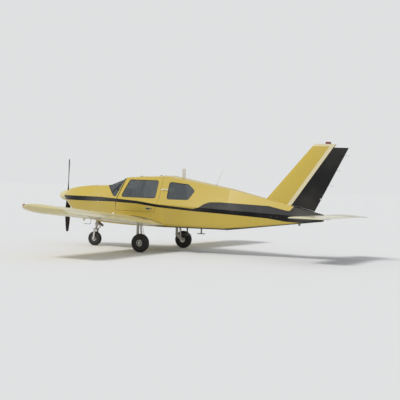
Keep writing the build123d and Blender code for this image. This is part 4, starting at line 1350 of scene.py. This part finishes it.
# %% Radios and switches
for slot in range(4):
    height = 1.425 - 0.05 * slot
    add_block(bezels, on_panel(0.0, height, 0.006), (0.16, 0.043, 0.012), 0.002)
    add_block(faces, on_panel(-0.005, height, 0.0125), (0.085, 0.022, 0.001))
    for reach in (-0.066, 0.066):
        add_disc(bezels, on_panel(reach, height, 0.012), 0.010, 0.014, 0.008, 20)
for switch in range(7):
    add_block(bezels, on_panel(0.40 - 0.035 * switch, 1.20, 0.008), (0.014, 0.022, 0.016), 0.002)
piece("instrument_bezels", bezels, dark_plastic)
piece("instrument_faces", faces, plain_paint("dial_black", (0.012, 0.012, 0.014), 0.02))
piece("instrument_marks", marks, plain_paint("dial_white", (0.75, 0.75, 0.72), 0.02))

# %% [markdown]
# Under the radios are three push-pull knobs on rods. A padded roll covers the panel's top edge, and a
# compass hangs in the middle of the windscreen.

# %% Knobs, roll and compass
KNOB_HEIGHT = 1.175
COMPASS = 2.16

starts = [on_panel(reach, KNOB_HEIGHT).translation for reach in (-0.05, 0.0, 0.05)]
knobs = ((add_ball, at(*start - Vector((0.055, 0, 0))), (0.016, 0.018, 0.018)) for start in starts)
fitted("push_pull_knobs", dark_plastic, *knobs)
rods = [([start, start - Vector((0.05, 0, 0))], 0.005) for start in starts]
tubes("push_pull_rods", rods, steel)
roll = [(PANEL_FACE + 0.004, -0.50 + 0.05 * i, 1.478 - 0.004 * abs(i - 10) / 10) for i in range(21)]
tubes("glareshield_roll", [(roll, 0.020)], dark_plastic)
fitted(
    "compass", dark_plastic,
    (add_ball, at(fore(COMPASS), 0, 1.70), (0.034, 0.032, 0.032)),
    (add_block, at(fore(COMPASS), 0, 1.74), (0.02, 0.02, 0.07), 0.003),
)


# %% [markdown]
# ## Wheels, legs and exhaust
# Bolts hold the two halves of each rim between its lightening holes, a valve stands beside them, and a
# pressed cap covers the end of each main axle. All of that turns with the wheel. A brake hose climbs
# the main leg, and the sliding part of each oleo is bright steel. The boarding steps get tread pads,
# and a clamp closes round the exhaust pipe.

# %% Bolt rings and soft paths
LEG_REACH, LEG_FOOT, LEG_HEAD = 1.048, (3.015, 0.282), (2.97, 0.73)
STEP_STATION, STEP_REACH, STEP_TOP = 3.90, 0.40, 0.445
EXHAUST = (1.29, 0.15, 0.60)
NOSE_AXLE = Vector((2.77, 0, 0.18))
NOSE_STRUT = Vector((-0.124034735, 0, 0.992277877))
HOSE = ((3.085, 0.02, 0.250), (3.115, 0, 0.30), (3.06, -0.03, 0.42), (3.02, -0.03, 0.56), (3.00, -0.02, 0.70))
WEB = 0.008


def add_wheel_details(bm, centre, way, valve, bolts):
    """Bolts and a valve on one side of a rim that turns about Y, each ring given by its radius."""
    face = Matrix.Translation(centre) @ turn(-way * math.pi / 2, "X")
    for step in range(6):
        spot = face @ turn(math.radians(30 + 60 * step))
        add_disc(bm, spot @ at(bolts, 0, WEB), 0.0065, 0.005, segments=6)
        add_disc(bm, spot @ at(bolts, 0, WEB + 0.005), 0.0035, 0.004, segments=10)
    add_disc(bm, face @ at(valve, 0, WEB), 0.0045, 0.034, 0.0038, 12)


def softened(points, turns=3):
    """Rounds the corners of a path by cutting them off, a few times over."""
    path = [Vector(p) for p in points]
    for _ in range(turns):
        cut = [path[0]]
        for a, b in zip(path, path[1:]):
            cut += [a.lerp(b, 0.25), a.lerp(b, 0.75)]
        path = cut + [path[-1]]
    return path


def ring(centre, radius, axis, steps=36):
    """A circle of points about a centre, across an axis."""
    across = Vector(axis).to_track_quat("Z", "Y").to_matrix()
    angles = (math.tau * i / steps for i in range(steps))
    return [
        Vector(centre) + across @ Vector((radius * math.cos(a), radius * math.sin(a), 0)) for a in angles
    ]


# %% Bolts, caps, hoses and oleos
low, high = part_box("nose_tyre")
nose_bolts = bmesh.new()
for way in (-1, 1):
    add_wheel_details(nose_bolts, (low + high) / 2, way, 0.050, 0.042)
piece("nose_wheel_bolts", nose_bolts, steel, "nose_wheel")

hoses, sleeves, clamps, treads = [], [], [], []
for side, way in SIDES:
    low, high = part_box(f"main_tyre_{side}")
    hub, wheel = (low + high) / 2, f"main_wheel_{side}"
    fitted(f"main_wheel_bolts_{side}", steel, (add_wheel_details, hub, way, 0.062, 0.048), body=wheel)
    cap = at(hub.x, hub.y + way * 0.058, hub.z)
    fitted(f"hub_cap_{side}", alloy, (add_ball, cap, (0.029, 0.013, 0.029), 14), body=wheel)
    hoses.append((softened((fore(s), (LEG_REACH + out) * way, z) for s, out, z in HOSE), 0.004))
    foot, head = (Vector((fore(station), LEG_REACH * way, z)) for station, z in (LEG_FOOT, LEG_HEAD))
    sleeves.append(([foot.lerp(head, 0.12), foot.lerp(head, 0.42)], 0.0212))
    clamps.append(([foot.lerp(head, 0.42), foot.lerp(head, 0.47)], 0.0245))
    treads.append((add_block, at(fore(STEP_STATION), STEP_REACH * way, STEP_TOP), (0.165, 0.088, 0.003), 0.001))
tubes("brake_hoses", hoses, seal_rubber)
tubes("main_oleo_rods", sleeves, steel)
tubes("main_oleo_collars", clamps, leg_paint)
fitted("step_treads", grit_black, *treads)
oleo_run = [NOSE_AXLE + NOSE_STRUT * share for share in (0.267, 0.329)]
tubes("nose_oleo_rod", [(oleo_run, 0.0263)], steel, "nose_fork")
clamp = ring((fore(EXHAUST[0]), *EXHAUST[1:]), 0.0325, UP)
tubes("exhaust_clamp", [(clamp, 0.004)], steel, closed=True)


# %% [markdown]
# ## Tail fittings
# A fillet softens the joint between fin and hull, and a rubber strip narrows the gap under the
# rudder. Rubber rings close the gap round the tailplane's tube, a white light looks aft from the
# rudder, and thin static wicks trail from the moving surfaces.

# %% Fillets, collars and gap strip
fin_skin = skin_of("fin")
TAILPLANE_AXIS = 1.015
FIN_START, FIN_LONG, GAP_START = 5.80, 0.60, 6.43


def fin_seam(way):
    """Where the fin's side meets the hull, found by turns: down to the hull, then across to the fin."""
    run = []
    for step in range(25):
        station = FIN_START + FIN_LONG * step / 24
        reach = 0.03
        for _ in range(4):
            height = above(hull_skin, station, way * reach)[0].z
            start = Vector((fore(station), way, height + 0.004))
            found = fin_skin.ray_cast(start, Vector((0, -way, 0)))[0]
            if found is None:
                break
            reach = abs(found.y)
        if found is not None:
            run.append(Vector((fore(station), way * reach, height)))
    return run


tubes("fin_root_fillets", [(fin_seam(way), 0.010) for way in (-1, 1)], fin_finish)
collars = []
for way in (-1, 1):
    side_y = beside(7.06, TAILPLANE_AXIS, way)[0].y
    collars.append((ring((fore(7.11), side_y - way * 0.003, TAILPLANE_AXIS), 0.036, PORT), 0.006))
tubes("tailplane_collars", collars, seal_rubber, closed=True)
crest = [above(hull_skin, GAP_START + 0.04 * i)[0] + Vector((0, 0, 0.001)) for i in range(14)]
tubes("rudder_gap_strip", [(crest, 0.011)], seal_rubber)

# %% Wicks and tail light
EDGE_FOOT, EDGE_TOP = (6.968, 1.145), (7.72, 2.62)
TAIL_LIGHT = 1.42


def wick(edge, trail):
    """A thin rod that starts just inside a trailing edge."""
    return [edge + Vector((0.006, 0, 0)), edge + Vector(trail)], 0.0024


def rudder_edge(height):
    return Vector((fore(on_line(height, EDGE_FOOT, EDGE_TOP)), 0, height))


rudder_wicks = [wick(rudder_edge(z), (-0.11, 0, -0.02)) for z in (1.75, 2.1, 2.45)]
tubes("rudder_wicks", rudder_wicks, dark_plastic, "rudder")
light = Matrix.Translation(rudder_edge(TAIL_LIGHT) + Vector((0.006, 0, 0)))
fitted("tail_light", lens_clear, (add_ball, light, (0.028, 0.012, 0.020), 14), body="rudder")
for side, _ in SIDES:
    edge = [v.co for v in frame["nodes"][f"aileron_{side}"].data.vertices]
    back = min(p.x for p in edge)
    edge = sorted((p for p in edge if p.x < back + 0.002), key=lambda p: abs(p.y))
    wicks = [wick(edge[0].lerp(edge[-1], share), (-0.10, 0, 0)) for share in (0.55, 0.75, 0.95)]
    tubes(f"aileron_wicks_{side}", wicks, dark_plastic, f"aileron_{side}")
stab_wicks = [
    wick(Vector((fore(7.701), reach, TAILPLANE_AXIS)), (-0.099, 0, -0.005))
    for reach in (-1.55, -1.35, 1.35, 1.55)
]
tubes("tailplane_wicks", stab_wicks, dark_plastic, "stabilator")


# %% [markdown]
# ## Antennas, probe and storm windows
# A whip antenna stands on the roof behind the blade and a small spike hangs under the belly, each
# from a base disc on the skin. A thermometer probe pierces the windscreen, and a rubber ring marks
# the round storm window in each door's pane.

# %% Antennas and probe
WHIP, SPIKE, PROBE = 4.45, 4.75, (2.11, -0.22)

whip = seat_on(*above(hull_skin, WHIP))
spike = seat_on(*below(hull_skin, SPIKE))
whip_foot, spike_foot = whip.translation, spike.translation
feet = [(add_disc, p @ at(0, 0, -0.002), r, 0.008, r * 0.8, 28) for p, r in ((whip, 0.022), (spike, 0.018))]
fitted("antenna_feet", dark_plastic, *feet)
whip_run = softened(whip_foot + Vector(step) for step in ((0, 0, 0), (-0.03, 0, 0.10), (-0.16, 0, 0.38)))
spike_run = [spike_foot, spike_foot - Vector((0, 0, 0.06))]
tubes("antenna_rods", [(whip_run, 0.003), (spike_run, 0.0028)], alloy)
spike_tip = Matrix.Translation(spike_foot - Vector((0, 0, 0.062)))
fitted("antenna_tip", alloy, (add_ball, spike_tip, (0.006, 0.006, 0.006), 10))
probe = seat_on(*above(skin_of("windscreen"), *PROBE))
tubes("thermometer_probe", [([probe @ Vector((0, 0, z)) for z in (-0.03, 0.045)], 0.004)], steel)

# %% Storm windows
STORM_STATION, STORM_HEIGHT, STORM_RADIUS = 2.33, 1.40, 0.055

for side, way in SIDES:
    pane_skin = skin_of(f"door_window_{side}")
    circle = ring((fore(STORM_STATION), 2 * way, STORM_HEIGHT), STORM_RADIUS, PORT, 32)
    vent = [meet(pane_skin, start, (0, -way, 0))[0] for start in circle]
    tubes(f"storm_window_ring_{side}", [(vent, 0.0045)], seal_rubber, f"door_{side}", closed=True)


# %% [markdown]
# The last cell measures the box of the dressed aeroplane, as the first cells measured that of the CAD.

# %% Closing
low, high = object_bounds()
